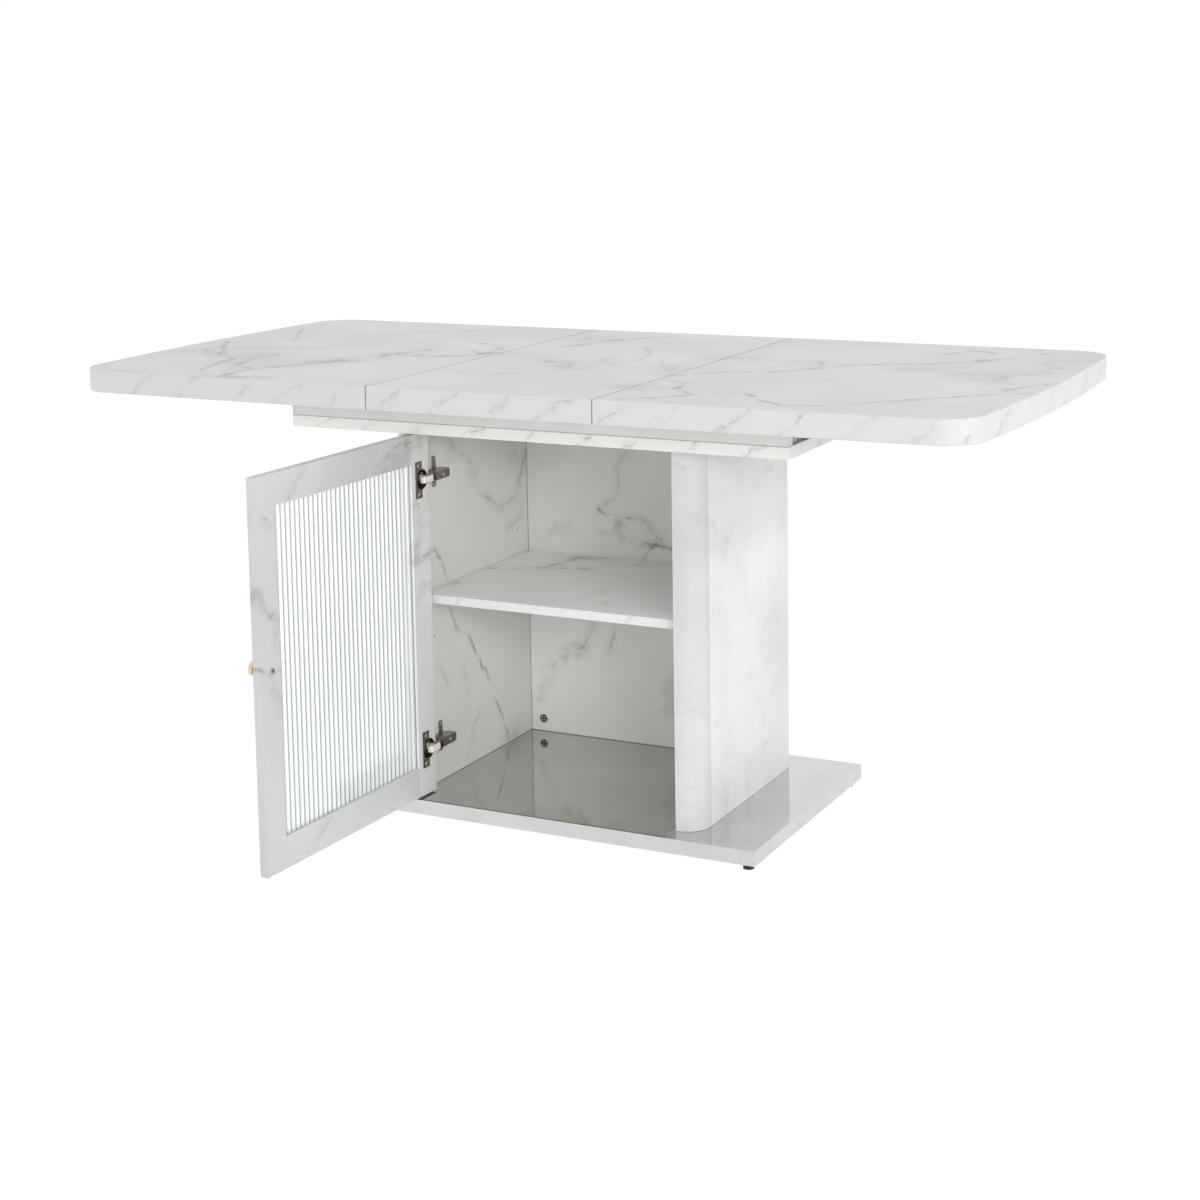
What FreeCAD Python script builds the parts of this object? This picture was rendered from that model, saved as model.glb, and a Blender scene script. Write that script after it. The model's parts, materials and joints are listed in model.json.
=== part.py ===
"""Extending dining table on a pedestal cabinet.

The origin is on the floor under the middle of the base. +X runs along the table,
-Y is the door side and +Z is up. All lengths are in millimetres.
The door stands open and the leaf is in place.
"""

import FreeCAD, Part
import os
from types import SimpleNamespace

import Sketcher
from FreeCAD import Rotation, Vector

SIZES = {
    # table top
    "table_height": 760,
    "top_length": 1600,
    "top_width": 800,
    "top_thick": 38,
    "leaf_length": 400,
    "end_bow": 19,
    "side_bow": 6,
    "top_corner": 65,
    "edge_chamfer": 1,
    "seam_gap": 0.8,
    # frame under the top
    "frame_length": 900,
    "frame_width": 480,
    "frame_space": 44,
    "board_thick": 20,
    "rail_thick": 18,
    "rail_clearance": 1,
    # extension tracks and runners
    "track_length": 880,
    "track_width": 30,
    "track_depth": 24,
    "track_wall": 2,
    "track_slot": 14,
    "track_offset": 195,
    "track_spacing": 45,
    "runner_length": 478,
    "runner_end": 448,
    "runner_web": 11,
    "runner_head": 19,
    "flange_thick": 4,
    "slide_fit": 0.4,
    # pedestal column
    "column_length": 564,
    "column_depth": 410,
    "column_corner": 42,
    "opening_width": 476,
    "panel_thick": 15,
    # base
    "base_length": 780,
    "base_depth": 480,
    "base_thick": 25,
    "clad_thick": 1,
    "foot_height": 10,
    "foot_radius": 9,
    "foot_inset": 18,
    # shelf
    "shelf_height": 375,
    "shelf_thick": 15,
    "shelf_gap": 1,
    "shelf_setback": 8,
    "pin_radius": 2.5,
    "pin_depth": 8,
    "pin_reach": 9,
    "pin_pitch": 64,
    "pin_setback": 41,
    # door
    "door_gap": 3,
    "door_thick": 15,
    "door_round": 2,
    "open_angle": 92,
    "pivot_inset": 10,
    "pivot_depth": 8,
    "stile_width": 50,
    "groove_depth": 8,
    "groove_setback": 5,
    "glass_thick": 4,
    "glass_fit": 0.3,
    "tongue_fit": 0.1,
    "reed_count": 31,
    "reed_height": 1.2,
    "reed_flat": 0.4,
    # knob
    "knob_radius": 12,
    "knob_reach": 22,
    "knob_neck": 5,
    "knob_edge": 1.5,
    "knob_head": 8,
    "knob_grip": 11,
    "knob_inset": 28,
    "knob_height": 355,
    # hinges
    "hinge_inset": 78,
    "cup_radius": 17.5,
    "cup_centre": 22,
    "cup_depth": 11.5,
    "cup_wall": 1,
    "flange_height": 62,
    "flange_width": 19,
    "flange_shift": 8,
    "flange_screw_pitch": 48,
    "hinge_pin_radius": 1.2,
    "hinge_pin_half": 9.8,
    "arm_height": 14.8,
    "arm_wall": 1.5,
    "neck_gap": 1.4,
    "neck_depth": 5,
    "nose_radius": 2,
    "link_gap": 0.5,
    "arm_rise": 11,
    "arm_reach": 60,
    "arm_screw_inset": 19,
    "plate_inset": 8,
    "plate_height": 52,
    "plate_width": 10,
    "plate_thick": 2,
    "riser_inset": 12,
    # fasteners
    "screw_radius": 2.75,
    "screw_proud": 0.8,
    "cup_grip": 9,
    "arm_grip": 8,
    "knob_screw_radius": 2,
    "knob_screw_head": 4,
    "cam_radius": 7.5,
    "cam_depth": 12,
    "cam_distance": 24,
    "cam_inset": 25,
    "cross_length": 8,
    "cross_width": 1.8,
    "cross_depth": 2,
    "fit": 0.05,
}


class Size:
    """A number with the sheet formula that gives it, so that sums stay bound to the cells."""

    def __init__(self, value, formula=None):
        self.value = float(value)
        self.formula = formula or f"({self.value!r})"

    def __add__(self, other):
        other = sized(other)
        return Size(self.value + other.value, f"({self.formula} + {other.formula})")

    def __sub__(self, other):
        other = sized(other)
        return Size(self.value - other.value, f"({self.formula} - {other.formula})")

    def __mul__(self, other):
        other = sized(other)
        return Size(self.value * other.value, f"({self.formula} * {other.formula})")

    def __truediv__(self, other):
        other = sized(other)
        return Size(self.value / other.value, f"({self.formula} / {other.formula})")

    def __neg__(self):
        return Size(-self.value, f"(-{self.formula})")


def sized(number):
    """The number itself if it is a Size, or a fixed Size of that value."""
    return number if isinstance(number, Size) else Size(number)


doc = FreeCAD.newDocument("storage_table")
sheet = doc.addObject("Spreadsheet::Sheet", "sizes")
for row, (alias, number) in enumerate(SIZES.items(), start=1):
    sheet.set(f"A{row}", alias)
    sheet.set(f"B{row}", str(number))
    sheet.setAlias(f"B{row}", alias)
doc.recompute()
d = SimpleNamespace(**{alias: Size(sheet.get(alias), f"sizes.{alias}") for alias in SIZES})
nodes = []


# ---------------------------------------------------------------- building blocks


def bind(thing, name, size):
    """Binds one property of an object to the sheet."""
    thing.setExpression(name, sized(size).formula)


def place(thing, corner):
    """Binds the three coordinates of an object's place."""
    for axis, size in zip("xyz", corner):
        bind(thing, f"Placement.Base.{axis}", size)


def node(label, thing):
    """Keeps an object as a sub-part of its own under this label."""
    thing.Label = label
    nodes.append(thing)
    return thing


def block(name, low, high):
    """A box between two corners."""
    box = doc.addObject("Part::Box", name)
    for side, start, end in zip(("Length", "Width", "Height"), low, high):
        bind(box, side, sized(end) - start)
    place(box, low)
    return box


TURNS = {
    "x": Rotation(Vector(0, 1, 0), 90),
    "-x": Rotation(Vector(0, 1, 0), -90),
    "y": Rotation(Vector(1, 0, 0), -90),
    "-y": Rotation(Vector(1, 0, 0), 90),
    "z": Rotation(),
    "-z": Rotation(Vector(1, 0, 0), 180),
}


def rod(name, start, axis, radius, length):
    """A cylinder that starts at a point and runs along an axis."""
    cylinder = doc.addObject("Part::Cylinder", name)
    cylinder.Placement.Rotation = TURNS[axis]
    bind(cylinder, "Radius", radius)
    bind(cylinder, "Height", length)
    place(cylinder, start)
    return cylinder


def fuse(name, parts):
    """One solid from parts that touch."""
    union = doc.addObject("Part::MultiFuse", name)
    union.Shapes = parts
    union.Refine = True
    return union


def group(name, parts):
    """Separate solids kept together as one sub-part."""
    compound = doc.addObject("Part::Compound", name)
    compound.Links = parts
    return compound


def cut(name, base, tools):
    """The base less every tool."""
    difference = doc.addObject("Part::Cut", name)
    difference.Base = base
    difference.Tool = tools[0] if len(tools) == 1 else group(f"{name}_tools", tools)
    return difference


def mirrored(name, source):
    """The same piece on the other side of the table's middle, in X."""
    mirror = doc.addObject("Part::Mirroring", name)
    mirror.Source = source
    mirror.Normal = Vector(1, 0, 0)
    return mirror


def sketch_on(body, role, offset=0):
    """A sketch on one of the body's own origin planes, moved along its normal."""
    sketch = body.newObject("Sketcher::SketchObject", f"{body.Name}_sketch")
    plane = next(item for item in body.Origin.OriginFeatures if item.Role == role)
    sketch.AttachmentSupport = [(plane, "")]
    sketch.MapMode = "FlatFace"
    bind(sketch, "AttachmentOffset.Base.z", offset)
    return sketch


def hold(sketch, constraint, size):
    """Adds one sketch dimension and binds it to the sheet."""
    index = sketch.addConstraint(constraint)
    sketch.setExpression(f"Constraints[{index}]", sized(size).formula)


def hold_point(sketch, geometry, position, point):
    """Dimensions a sketch point from the origin."""
    for kind, size in zip(("DistanceX", "DistanceY"), point):
        size = sized(size)
        if abs(size.value) < 1e-9:
            axis = -2 if kind == "DistanceX" else -1
            sketch.addConstraint(Sketcher.Constraint("PointOnObject", geometry, position, axis))
        else:
            dimension = Sketcher.Constraint(kind, -1, 1, geometry, position, size.value)
            hold(sketch, dimension, size)


def polygon(sketch, points):
    """A closed outline of straight lines through the points."""
    ends = [Vector(sized(x).value, sized(y).value, 0) for x, y in points]
    lines = [
        sketch.addGeometry(Part.LineSegment(start, end))
        for start, end in zip(ends, ends[1:] + ends[:1])
    ]
    for line, following in zip(lines, lines[1:] + lines[:1]):
        sketch.addConstraint(Sketcher.Constraint("Coincident", line, 2, following, 1))
    for line, point in zip(lines, points):
        hold_point(sketch, line, 1, point)


def arc(sketch, centre, radius, start, end):
    """An arc held by its centre and radius, between two points that lie near it."""
    middle = Vector(sized(centre[0]).value, sized(centre[1]).value, 0)
    angles = [
        Vector(1, 0, 0).getAngle(Vector(x, y, 0) - middle) * (1 if y >= middle.y else -1)
        for x, y in (start, end)
    ]
    ring = Part.Circle(middle, Vector(0, 0, 1), radius.value)
    curve = sketch.addGeometry(Part.ArcOfCircle(ring, *angles))
    hold_point(sketch, curve, 3, centre)
    hold(sketch, Sketcher.Constraint("Radius", curve, radius.value), radius)
    return curve


def pad(body, sketch, length):
    """Extrudes a sketch along its normal."""
    feature = body.newObject("PartDesign::Pad", f"{body.Name}_pad")
    feature.Profile = sketch
    bind(feature, "Length", length)
    sketch.Visibility = False
    return feature


def pocket(body, sketch, length):
    """Cuts a sketch out of the body along the sketch's normal."""
    doc.recompute()
    before = body.Shape.Volume
    feature = body.newObject("PartDesign::Pocket", f"{body.Name}_pocket")
    feature.Profile = sketch
    feature.Reversed = True
    bind(feature, "Length", length)
    doc.recompute()
    if not body.Shape.Volume < before - 1e-3:
        raise RuntimeError(f"{body.Label}: the pocket cuts nothing")
    return feature


def dress(kind, body, name, size, wanted):
    """Adds a fillet or chamfer to the edges of the body's last feature that the test picks."""
    doc.recompute()
    base = body.Tip
    names = [f"Edge{i}" for i, edge in enumerate(base.Shape.Edges, start=1) if wanted(edge)]
    feature = body.newObject(f"PartDesign::{kind}", f"{body.Name}_{kind.lower()}")
    feature.Base = (base, names)
    bind(feature, name, size)
    doc.recompute()
    return feature


def fillet(body, radius, wanted):
    """Rounds the picked edges."""
    return dress("Fillet", body, "Radius", radius, wanted)


def chamfer(body, size, wanted):
    """Bevels the picked edges."""
    return dress("Chamfer", body, "Size", size, wanted)


def new_body(name):
    """An empty body."""
    return doc.addObject("PartDesign::Body", name)


def is_upright(edge):
    """True for a straight edge along Z."""
    low, high = edge.BoundBox.ZMin, edge.BoundBox.ZMax
    return edge.BoundBox.XLength < 1e-6 and edge.BoundBox.YLength < 1e-6 and high > low


def near(value, size):
    """True if a coordinate is at this size."""
    return abs(value - sized(size).value) < 1e-3


# ---------------------------------------------------------------- places shared by pieces

under_top = d.table_height - d.top_thick
board_top = under_top - d.frame_space
under_board = board_top - d.board_thick
rail_top = under_top - d.rail_clearance
base_top = d.foot_height + d.base_thick
core_top = base_top - d.clad_thick
half_length = d.top_length / 2
half_width = d.top_width / 2
half_leaf = d.leaf_length / 2
half_frame = d.frame_length / 2
half_column = d.column_length / 2
front = -(d.column_depth / 2)
back = d.column_depth / 2
wall = d.opening_width / 2
inner_front = front + d.panel_thick
inner_back = back - d.panel_thick
shelf_top = d.shelf_height
shelf_under = d.shelf_height - d.shelf_thick
shelf_front = inner_front + d.shelf_setback

door_edge = -wall + d.door_gap
door_free = wall - d.door_gap
door_low = base_top + d.door_gap
door_high = under_board - d.door_gap
door_back = front + d.door_thick
window_edge = door_edge + d.stile_width
window_free = door_free - d.stile_width
window_low = door_low + d.stile_width
window_high = door_high - d.stile_width
glass_back = door_back - d.groove_setback
glass_front = glass_back - d.glass_thick
groove_back = glass_back + d.glass_fit
groove_front = glass_front - d.glass_fit
knob_x = door_free - d.knob_inset

pivot_x = door_edge + d.pivot_inset
pivot_y = front + d.pivot_depth
cup_x = door_edge + d.cup_centre
flange_x = cup_x + d.flange_shift
cup_lip = d.door_thick - d.pivot_depth + d.cup_wall + d.neck_gap
neck_low = pivot_x + cup_lip
neck_high = neck_low + d.neck_depth
neck_start = inner_front + d.panel_thick - 1
roof = neck_high - d.arm_wall
arm_low = -wall + d.arm_rise
arm_end = inner_front + d.arm_reach
arm_half = d.arm_height / 2
arm_screw_y = arm_end - d.arm_screw_inset
plate_middle = arm_end - d.plate_inset
pin_hole = d.hinge_pin_radius + d.fit
screw_bore = d.screw_radius + d.fit
knob_bore = d.knob_screw_radius + d.fit


# ---------------------------------------------------------------- base


def base():
    """A board on five glides, clad on its top and edges in one polished steel tray."""
    half_x = d.base_length / 2
    half_y = d.base_depth / 2
    inner_x = half_x - d.clad_thick
    inner_y = half_y - d.clad_thick
    core = block("core", (-inner_x, -inner_y, d.foot_height), (inner_x, inner_y, core_top))
    node("base_core", core)
    tray = block("tray_blank", (-half_x, -half_y, d.foot_height), (half_x, half_y, base_top))
    hollow = block("tray_hollow", (-inner_x, -inner_y, 0), (inner_x, inner_y, core_top))
    node("base_cladding", cut("tray", tray, [hollow]))
    step_x = half_x - d.foot_inset
    step_y = half_y - d.foot_inset
    spots = [(x, y) for x in (-step_x, step_x) for y in (-step_y, step_y)] + [(0, 0)]
    glides = [
        rod(f"glide_{i}", (x, y, 0), "z", d.foot_radius, d.foot_height)
        for i, (x, y) in enumerate(spots)
    ]
    node("base_feet", group("feet", glides))


# ---------------------------------------------------------------- column


def side_shell():
    """A panel wrapped round both corners of the column, made as one C-shaped section."""
    inner = half_column - d.panel_thick
    body = new_body("shell_right")
    section = sketch_on(body, "XY_Plane", base_top)
    polygon(
        section,
        [
            (wall, front),
            (half_column, front),
            (half_column, back),
            (wall, back),
            (wall, inner_back),
            (inner, inner_back),
            (inner, inner_front),
            (wall, inner_front),
        ],
    )
    pad(body, section, under_board - base_top)
    fillet(body, d.column_corner, lambda e: is_upright(e) and near(e.BoundBox.XMin, half_column))
    inside = inner - wall - d.panel_thick
    fillet(body, inside, lambda e: is_upright(e) and near(e.BoundBox.XMin, inner))
    node("side_shell_right", body)
    node("side_shell_left", mirrored("shell_left", body))


def pin_heights():
    """The heights of the shelf pin holes: one carries the shelf, one above and one below."""
    middle = shelf_under - d.pin_radius
    return [middle, middle + d.pin_pitch, middle - d.pin_pitch]


def pin_rows():
    """The front and rear rows of shelf pin holes, in Y."""
    return [inner_front + d.pin_setback, inner_back - d.pin_setback]


def side_panels():
    """The inner walls, with rows of shelf pin holes."""
    for side, sign in (("right", 1), ("left", -1)):
        inside = wall * sign
        outside = (wall + d.panel_thick) * sign
        low_x, high_x = (inside, outside) if sign > 0 else (outside, inside)
        low = (low_x, inner_front, base_top)
        blank = block(f"panel_{side}_blank", low, (high_x, inner_back, under_board))
        outward = "x" if sign > 0 else "-x"
        holes = [
            rod(f"pin_hole_{side}_{i}_{j}", (inside, y, z), outward, d.pin_radius + d.fit, d.pin_depth)
            for i, y in enumerate(pin_rows())
            for j, z in enumerate(pin_heights())
        ]
        node(f"side_panel_{side}", cut(f"panel_{side}", blank, holes))


def back_panel():
    """The rear wall and the two cam locks, with a cross recess, that draw it to the base."""
    blank = block("back_blank", (-wall, inner_back, base_top), (wall, back, under_board))
    height = base_top + d.cam_distance
    seats = []
    discs = []
    for side, x in (("left", -wall + d.cam_inset), ("right", wall - d.cam_inset)):
        start = (x, inner_back, height)
        seats.append(rod(f"cam_seat_{side}", start, "y", d.cam_radius + d.fit, d.cam_depth))
        disc = rod(f"cam_disc_{side}", start, "y", d.cam_radius, d.cam_depth)
        arms = []
        strokes = (("flat", d.cross_length, d.cross_width), ("tall", d.cross_width, d.cross_length))
        for turn, reach_x, reach_z in strokes:
            low = (x - reach_x / 2, inner_back - 1, height - reach_z / 2)
            high = (x + reach_x / 2, inner_back + d.cross_depth, height + reach_z / 2)
            arms.append(block(f"cam_{turn}_{side}", low, high))
        discs.append(cut(f"cam_{side}", disc, [fuse(f"cam_cross_{side}", arms)]))
    node("back_panel", cut("back", blank, seats))
    node("cam_locks", group("cam_discs", discs))


def shelf():
    """A loose shelf on four pins."""
    reach = wall - d.shelf_gap
    low = (-reach, shelf_front, shelf_under)
    node("shelf", block("shelf_board", low, (reach, inner_back - d.shelf_gap, shelf_top)))
    pins = []
    height = pin_heights()[0]
    for side, sign, axis in (("right", -1, "-x"), ("left", 1, "x")):
        for i, y in enumerate(pin_rows()):
            start = (-(wall + d.pin_depth) * sign, y, height)
            length = d.pin_depth + d.pin_reach
            pins.append(rod(f"shelf_pin_{side}_{i}", start, axis, d.pin_radius, length))
    node("shelf_pins", group("pins", pins))


# ---------------------------------------------------------------- frame under the top


def frame_board():
    """The board on top of the column that carries the rails and the extension tracks."""
    half_y = d.frame_width / 2
    low = (-half_frame, -half_y, under_board)
    node("frame_board", block("board", low, (half_frame, half_y, board_top)))


def rails():
    """The front and rear rails on the board's long edges."""
    outer = d.frame_width / 2
    inner = outer - d.rail_thick
    for side, low_y, high_y in (("front", -outer, -inner), ("rear", inner, outer)):
        low = (-half_frame, low_y, board_top)
        node(f"rail_{side}", block(f"rail_{side}_board", low, (half_frame, high_y, rail_top)))


def lanes():
    """Side, half and middle line of each of the four tracks."""
    inner = d.track_offset - d.track_spacing
    return [
        ("front", "left", -d.track_offset),
        ("front", "right", -inner),
        ("rear", "right", inner),
        ("rear", "left", d.track_offset),
    ]


def track(side, half, lane):
    """A lipped channel, open at the top, that a runner slides in."""
    body = new_body(f"track_{side}_{half}_body")
    section = sketch_on(body, "YZ_Plane", -(d.track_length / 2))
    out = d.track_width / 2
    inside = out - d.track_wall
    slot = d.track_slot / 2
    floor = board_top + d.track_wall
    lip = board_top + d.track_depth - d.track_wall
    top = board_top + d.track_depth
    polygon(
        section,
        [
            (lane - out, board_top),
            (lane + out, board_top),
            (lane + out, top),
            (lane + slot, top),
            (lane + slot, lip),
            (lane + inside, lip),
            (lane + inside, floor),
            (lane - inside, floor),
            (lane - inside, lip),
            (lane - slot, lip),
            (lane - slot, top),
            (lane - out, top),
        ],
    )
    pad(body, section, d.track_length)
    node(f"track_{side}_{half}", body)


def runner(side, half, lane):
    """A runner whose foot is captive in the track and whose top flange carries a half top."""
    sign = 1 if half == "right" else -1
    start = d.runner_end - d.runner_length if sign > 0 else -d.runner_end
    body = new_body(f"runner_{side}_{half}_body")
    section = sketch_on(body, "YZ_Plane", start)
    foot = d.track_width / 2 - d.track_wall - d.slide_fit
    web = d.runner_web / 2
    floor = board_top + d.track_wall
    shoulder = floor + d.runner_head
    flange = under_top - d.flange_thick
    out = d.track_width / 2
    polygon(
        section,
        [
            (lane - foot, floor),
            (lane + foot, floor),
            (lane + foot, shoulder),
            (lane + web, shoulder),
            (lane + web, flange),
            (lane + out, flange),
            (lane + out, under_top),
            (lane - out, under_top),
            (lane - out, flange),
            (lane - web, flange),
            (lane - web, shoulder),
            (lane - foot, shoulder),
        ],
    )
    pad(body, section, d.runner_length)
    node(f"runner_{side}_{half}", body)


# ---------------------------------------------------------------- table top


def bow_radius(chord, rise):
    """The radius of an arc from half its chord and its rise."""
    return (chord * chord + rise * rise) / (rise * 2)


def top_panel(name, start, end=None):
    """A slice of the bowed top between two seams, or from a seam to the bowed end."""
    body = new_body(name)
    section = sketch_on(body, "XY_Plane", under_top)
    side_radius = bow_radius(half_length, d.side_bow)
    side_centre = side_radius - half_width
    far_x = (end or half_length - d.end_bow).value
    edge = half_width.value
    corner = edge if end else edge - d.side_bow.value
    near_front = (start.value, -edge)
    far_front = (far_x, -corner)
    far_rear = (far_x, corner)
    near_rear = (start.value, edge)
    front_arc = arc(section, (0, side_centre), side_radius, near_front, far_front)
    if end:
        line = Part.LineSegment(Vector(*far_front, 0), Vector(*far_rear, 0))
        far_edge = section.addGeometry(line)
        hold(section, Sketcher.Constraint("DistanceX", -1, 1, far_edge, 1, end.value), end)
        section.addConstraint(Sketcher.Constraint("Vertical", far_edge))
    else:
        end_radius = bow_radius(half_width, d.end_bow)
        centre = (half_length - end_radius, 0)
        far_edge = arc(section, centre, end_radius, far_front, far_rear)
    rear_arc = arc(section, (0, -side_centre), side_radius, far_rear, near_rear)
    line = Part.LineSegment(Vector(*near_rear, 0), Vector(*near_front, 0))
    near_edge = section.addGeometry(line)
    hold(section, Sketcher.Constraint("DistanceX", -1, 1, near_edge, 1, start.value), start)
    section.addConstraint(Sketcher.Constraint("Vertical", near_edge))
    ring = [front_arc, far_edge, rear_arc, near_edge]
    for one, following in zip(ring, ring[1:] + ring[:1]):
        section.addConstraint(Sketcher.Constraint("Coincident", one, 2, following, 1))
    pad(body, section, d.top_thick)
    if not end:
        limit = start.value + 1
        fillet(body, d.top_corner, lambda e: is_upright(e) and e.BoundBox.XMin > limit)
    return body


def is_rim(edge, seams):
    """True for an edge round the top or bottom face that isn't along a seam."""
    box = edge.BoundBox
    flat = box.ZLength < 1e-6
    along_seam = box.XLength < 1e-6 and any(near(box.XMin, seam) for seam in seams)
    return flat and not along_seam


def table_top():
    """Two half tops that slide apart, and the leaf between them."""
    seam = half_leaf + d.seam_gap / 2
    half = top_panel("half_top_body", seam)
    chamfer(half, d.edge_chamfer, lambda e: is_rim(e, [seam]))
    node("half_top_right", half)
    node("half_top_left", mirrored("half_left", half))
    edge = half_leaf - d.seam_gap / 2
    leaf = top_panel("leaf_body", -edge, edge)
    chamfer(leaf, d.edge_chamfer, lambda e: is_rim(e, [edge, -edge]))
    node("leaf", leaf)


# ---------------------------------------------------------------- door


def hang(label, thing):
    """A piece made on the closed door, turned about the hinge pins to the open door."""
    turn = f"create(<<rotation>>; create(<<vector>>; 0; 0; 1); -{d.open_angle.formula})"
    centre = f"create(<<vector>>; {pivot_x.formula}; {pivot_y.formula}; 0)"
    thing.setExpression(
        "Placement", f"create(<<placement>>; create(<<vector>>; 0; 0; 0); {turn}; {centre})"
    )
    return node(label, thing)


def hinge_heights():
    """The heights of the upper and lower hinge."""
    return [("upper", door_high - d.hinge_inset), ("lower", door_low + d.hinge_inset)]


def stiles():
    """The door's uprights, grooved for the glass and the rails' tongues."""
    for side, outer, inner, sign in (
        ("hinge", door_edge, window_edge, 1),
        ("free", door_free, window_free, -1),
    ):
        body = new_body(f"stile_{side}")
        section = sketch_on(body, "XY_Plane", door_low)
        bottom = inner - d.groove_depth * sign
        polygon(
            section,
            [
                (outer, front),
                (inner, front),
                (inner, groove_front),
                (bottom, groove_front),
                (bottom, groove_back),
                (inner, groove_back),
                (inner, door_back),
                (outer, door_back),
            ],
        )
        pad(body, section, door_high - door_low)
        corner = lambda e: is_upright(e) and near(e.BoundBox.XMin, outer) and near(e.BoundBox.YMin, front)
        fillet(body, d.door_round, corner)
        if side == "hinge":
            bores = [
                rod(
                    f"cup_bore_{tag}",
                    (door_edge + d.cup_centre, door_back, z),
                    "-y",
                    d.cup_radius + d.fit,
                    d.cup_depth + d.fit,
                )
                for tag, z in hinge_heights()
            ]
            bores += [
                rod(f"cup_screw_hole_{i}", spot, "-y", screw_bore, d.cup_grip)
                for i, spot in enumerate(cup_screw_spots())
            ]
        else:
            start = (knob_x, front - 1, d.knob_height)
            bores = [rod("stile_knob_bore", start, "y", knob_bore, d.door_thick + 2)]
        hang(f"door_stile_{side}", cut(f"stile_{side}_cut", body, bores))


def door_rails():
    """The door's cross rails, grooved for the glass, with a tongue at each end."""
    tongue = d.groove_depth - d.glass_fit
    for side, outer, inner, sign in (
        ("top", door_high, door_high - d.stile_width, -1),
        ("bottom", door_low, door_low + d.stile_width, 1),
    ):
        body = new_body(f"rail_{side}")
        section = sketch_on(body, "YZ_Plane", window_edge)
        bottom = inner - d.groove_depth * sign
        polygon(
            section,
            [
                (front, outer),
                (front, inner),
                (groove_front, inner),
                (groove_front, bottom),
                (groove_back, bottom),
                (groove_back, inner),
                (door_back, inner),
                (door_back, outer),
            ],
        )
        pad(body, section, window_free - window_edge)
        low, high = (bottom, outer) if sign < 0 else (outer, bottom)
        tongues = [
            block(
                f"tongue_{side}_{i}",
                (start, groove_front + d.tongue_fit, low),
                (end, groove_back - d.tongue_fit, high),
            )
            for i, (start, end) in enumerate(
                ((window_edge - tongue, window_edge), (window_free, window_free + tongue))
            )
        ]
        hang(f"door_rail_{side}", fuse(f"rail_{side}_whole", [body] + tongues))


def reeded_glass():
    """A flat pane whose outer face carries a row of upright half-round reeds."""
    body = new_body("glass_body")
    edge = d.groove_depth - d.glass_fit
    low = window_low
    high = window_high
    face = sketch_on(body, "XY_Plane", low - edge)
    polygon(
        face,
        [
            (window_edge - edge, glass_front),
            (window_free + edge, glass_front),
            (window_free + edge, glass_back),
            (window_edge - edge, glass_back),
        ],
    )
    pad(body, face, high - low + edge * 2)
    pitch = (window_free - window_edge) / d.reed_count
    half = (pitch - d.reed_flat) / 2
    radius = bow_radius(half, d.reed_height)
    middle = window_edge + pitch / 2
    profile = sketch_on(body, "XY_Plane", low + d.glass_fit)
    left = (middle - half).value
    right = (middle + half).value
    level = glass_front.value
    centre = (middle, glass_front - d.reed_height + radius)
    crest = arc(profile, centre, radius, (left, level), (right, level))
    chord = profile.addGeometry(Part.LineSegment(Vector(right, level, 0), Vector(left, level, 0)))
    profile.addConstraint(Sketcher.Constraint("Coincident", crest, 2, chord, 1))
    profile.addConstraint(Sketcher.Constraint("Coincident", chord, 2, crest, 1))
    profile.addConstraint(Sketcher.Constraint("Horizontal", chord))
    dimension = Sketcher.Constraint("DistanceY", -1, 1, chord, 1, level)
    hold(profile, dimension, glass_front)
    reed = pad(body, profile, high - low - d.glass_fit * 2)
    doc.recompute()
    row = body.newObject("PartDesign::LinearPattern", "reeds")
    row.Originals = [reed]
    row.Direction = (next(i for i in body.Origin.OriginFeatures if i.Role == "X_Axis"), [""])
    bind(row, "Length", pitch * (d.reed_count - 1))
    bind(row, "Occurrences", d.reed_count)
    body.Tip = row
    doc.recompute()
    hang("reeded_glass", body)


def knob():
    """A turned button knob and the screw that holds it through the stile."""
    body = new_body("knob_body")
    profile = sketch_on(body, "XY_Plane", d.knob_height)
    tip = front - d.knob_reach
    head_back = tip + d.knob_head
    bore_end = front - d.knob_grip
    polygon(
        profile,
        [
            (knob_x, tip),
            (knob_x + d.knob_radius - d.knob_edge, tip),
            (knob_x + d.knob_radius, tip + d.knob_edge),
            (knob_x + d.knob_radius, head_back),
            (knob_x + d.knob_neck, head_back),
            (knob_x + d.knob_neck, front),
            (knob_x + knob_bore, front),
            (knob_x + knob_bore, bore_end),
            (knob_x, bore_end),
        ],
    )
    turned = body.newObject("PartDesign::Revolution", "knob_turning")
    turned.Profile = profile
    axis = profile.addGeometry(
        Part.LineSegment(Vector(knob_x.value, tip.value, 0), Vector(knob_x.value, front.value, 0)), True
    )
    hold_point(profile, axis, 1, (knob_x, tip))
    hold_point(profile, axis, 2, (knob_x, front))
    turned.ReferenceAxis = (profile, ["Axis0"])
    turned.Angle = 360
    doc.recompute()
    hang("door_knob", body)
    start = (knob_x, door_back, d.knob_height)
    head = rod("knob_screw_head", start, "y", d.knob_screw_head, d.knob_screw_radius)
    reach = d.door_thick + d.knob_grip
    shank = rod("knob_screw_shank", start, "-y", d.knob_screw_radius, reach)
    hang("knob_screw", fuse("knob_screw_whole", [head, shank]))


# ---------------------------------------------------------------- hinges


def cup_screw_spots():
    """The four screws that hold the cup flanges to the stile."""
    step = d.flange_screw_pitch / 2
    return [
        (flange_x, door_back + d.cup_wall, z + step * sign)
        for _, z in hinge_heights()
        for sign in (-1, 1)
    ]


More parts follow.
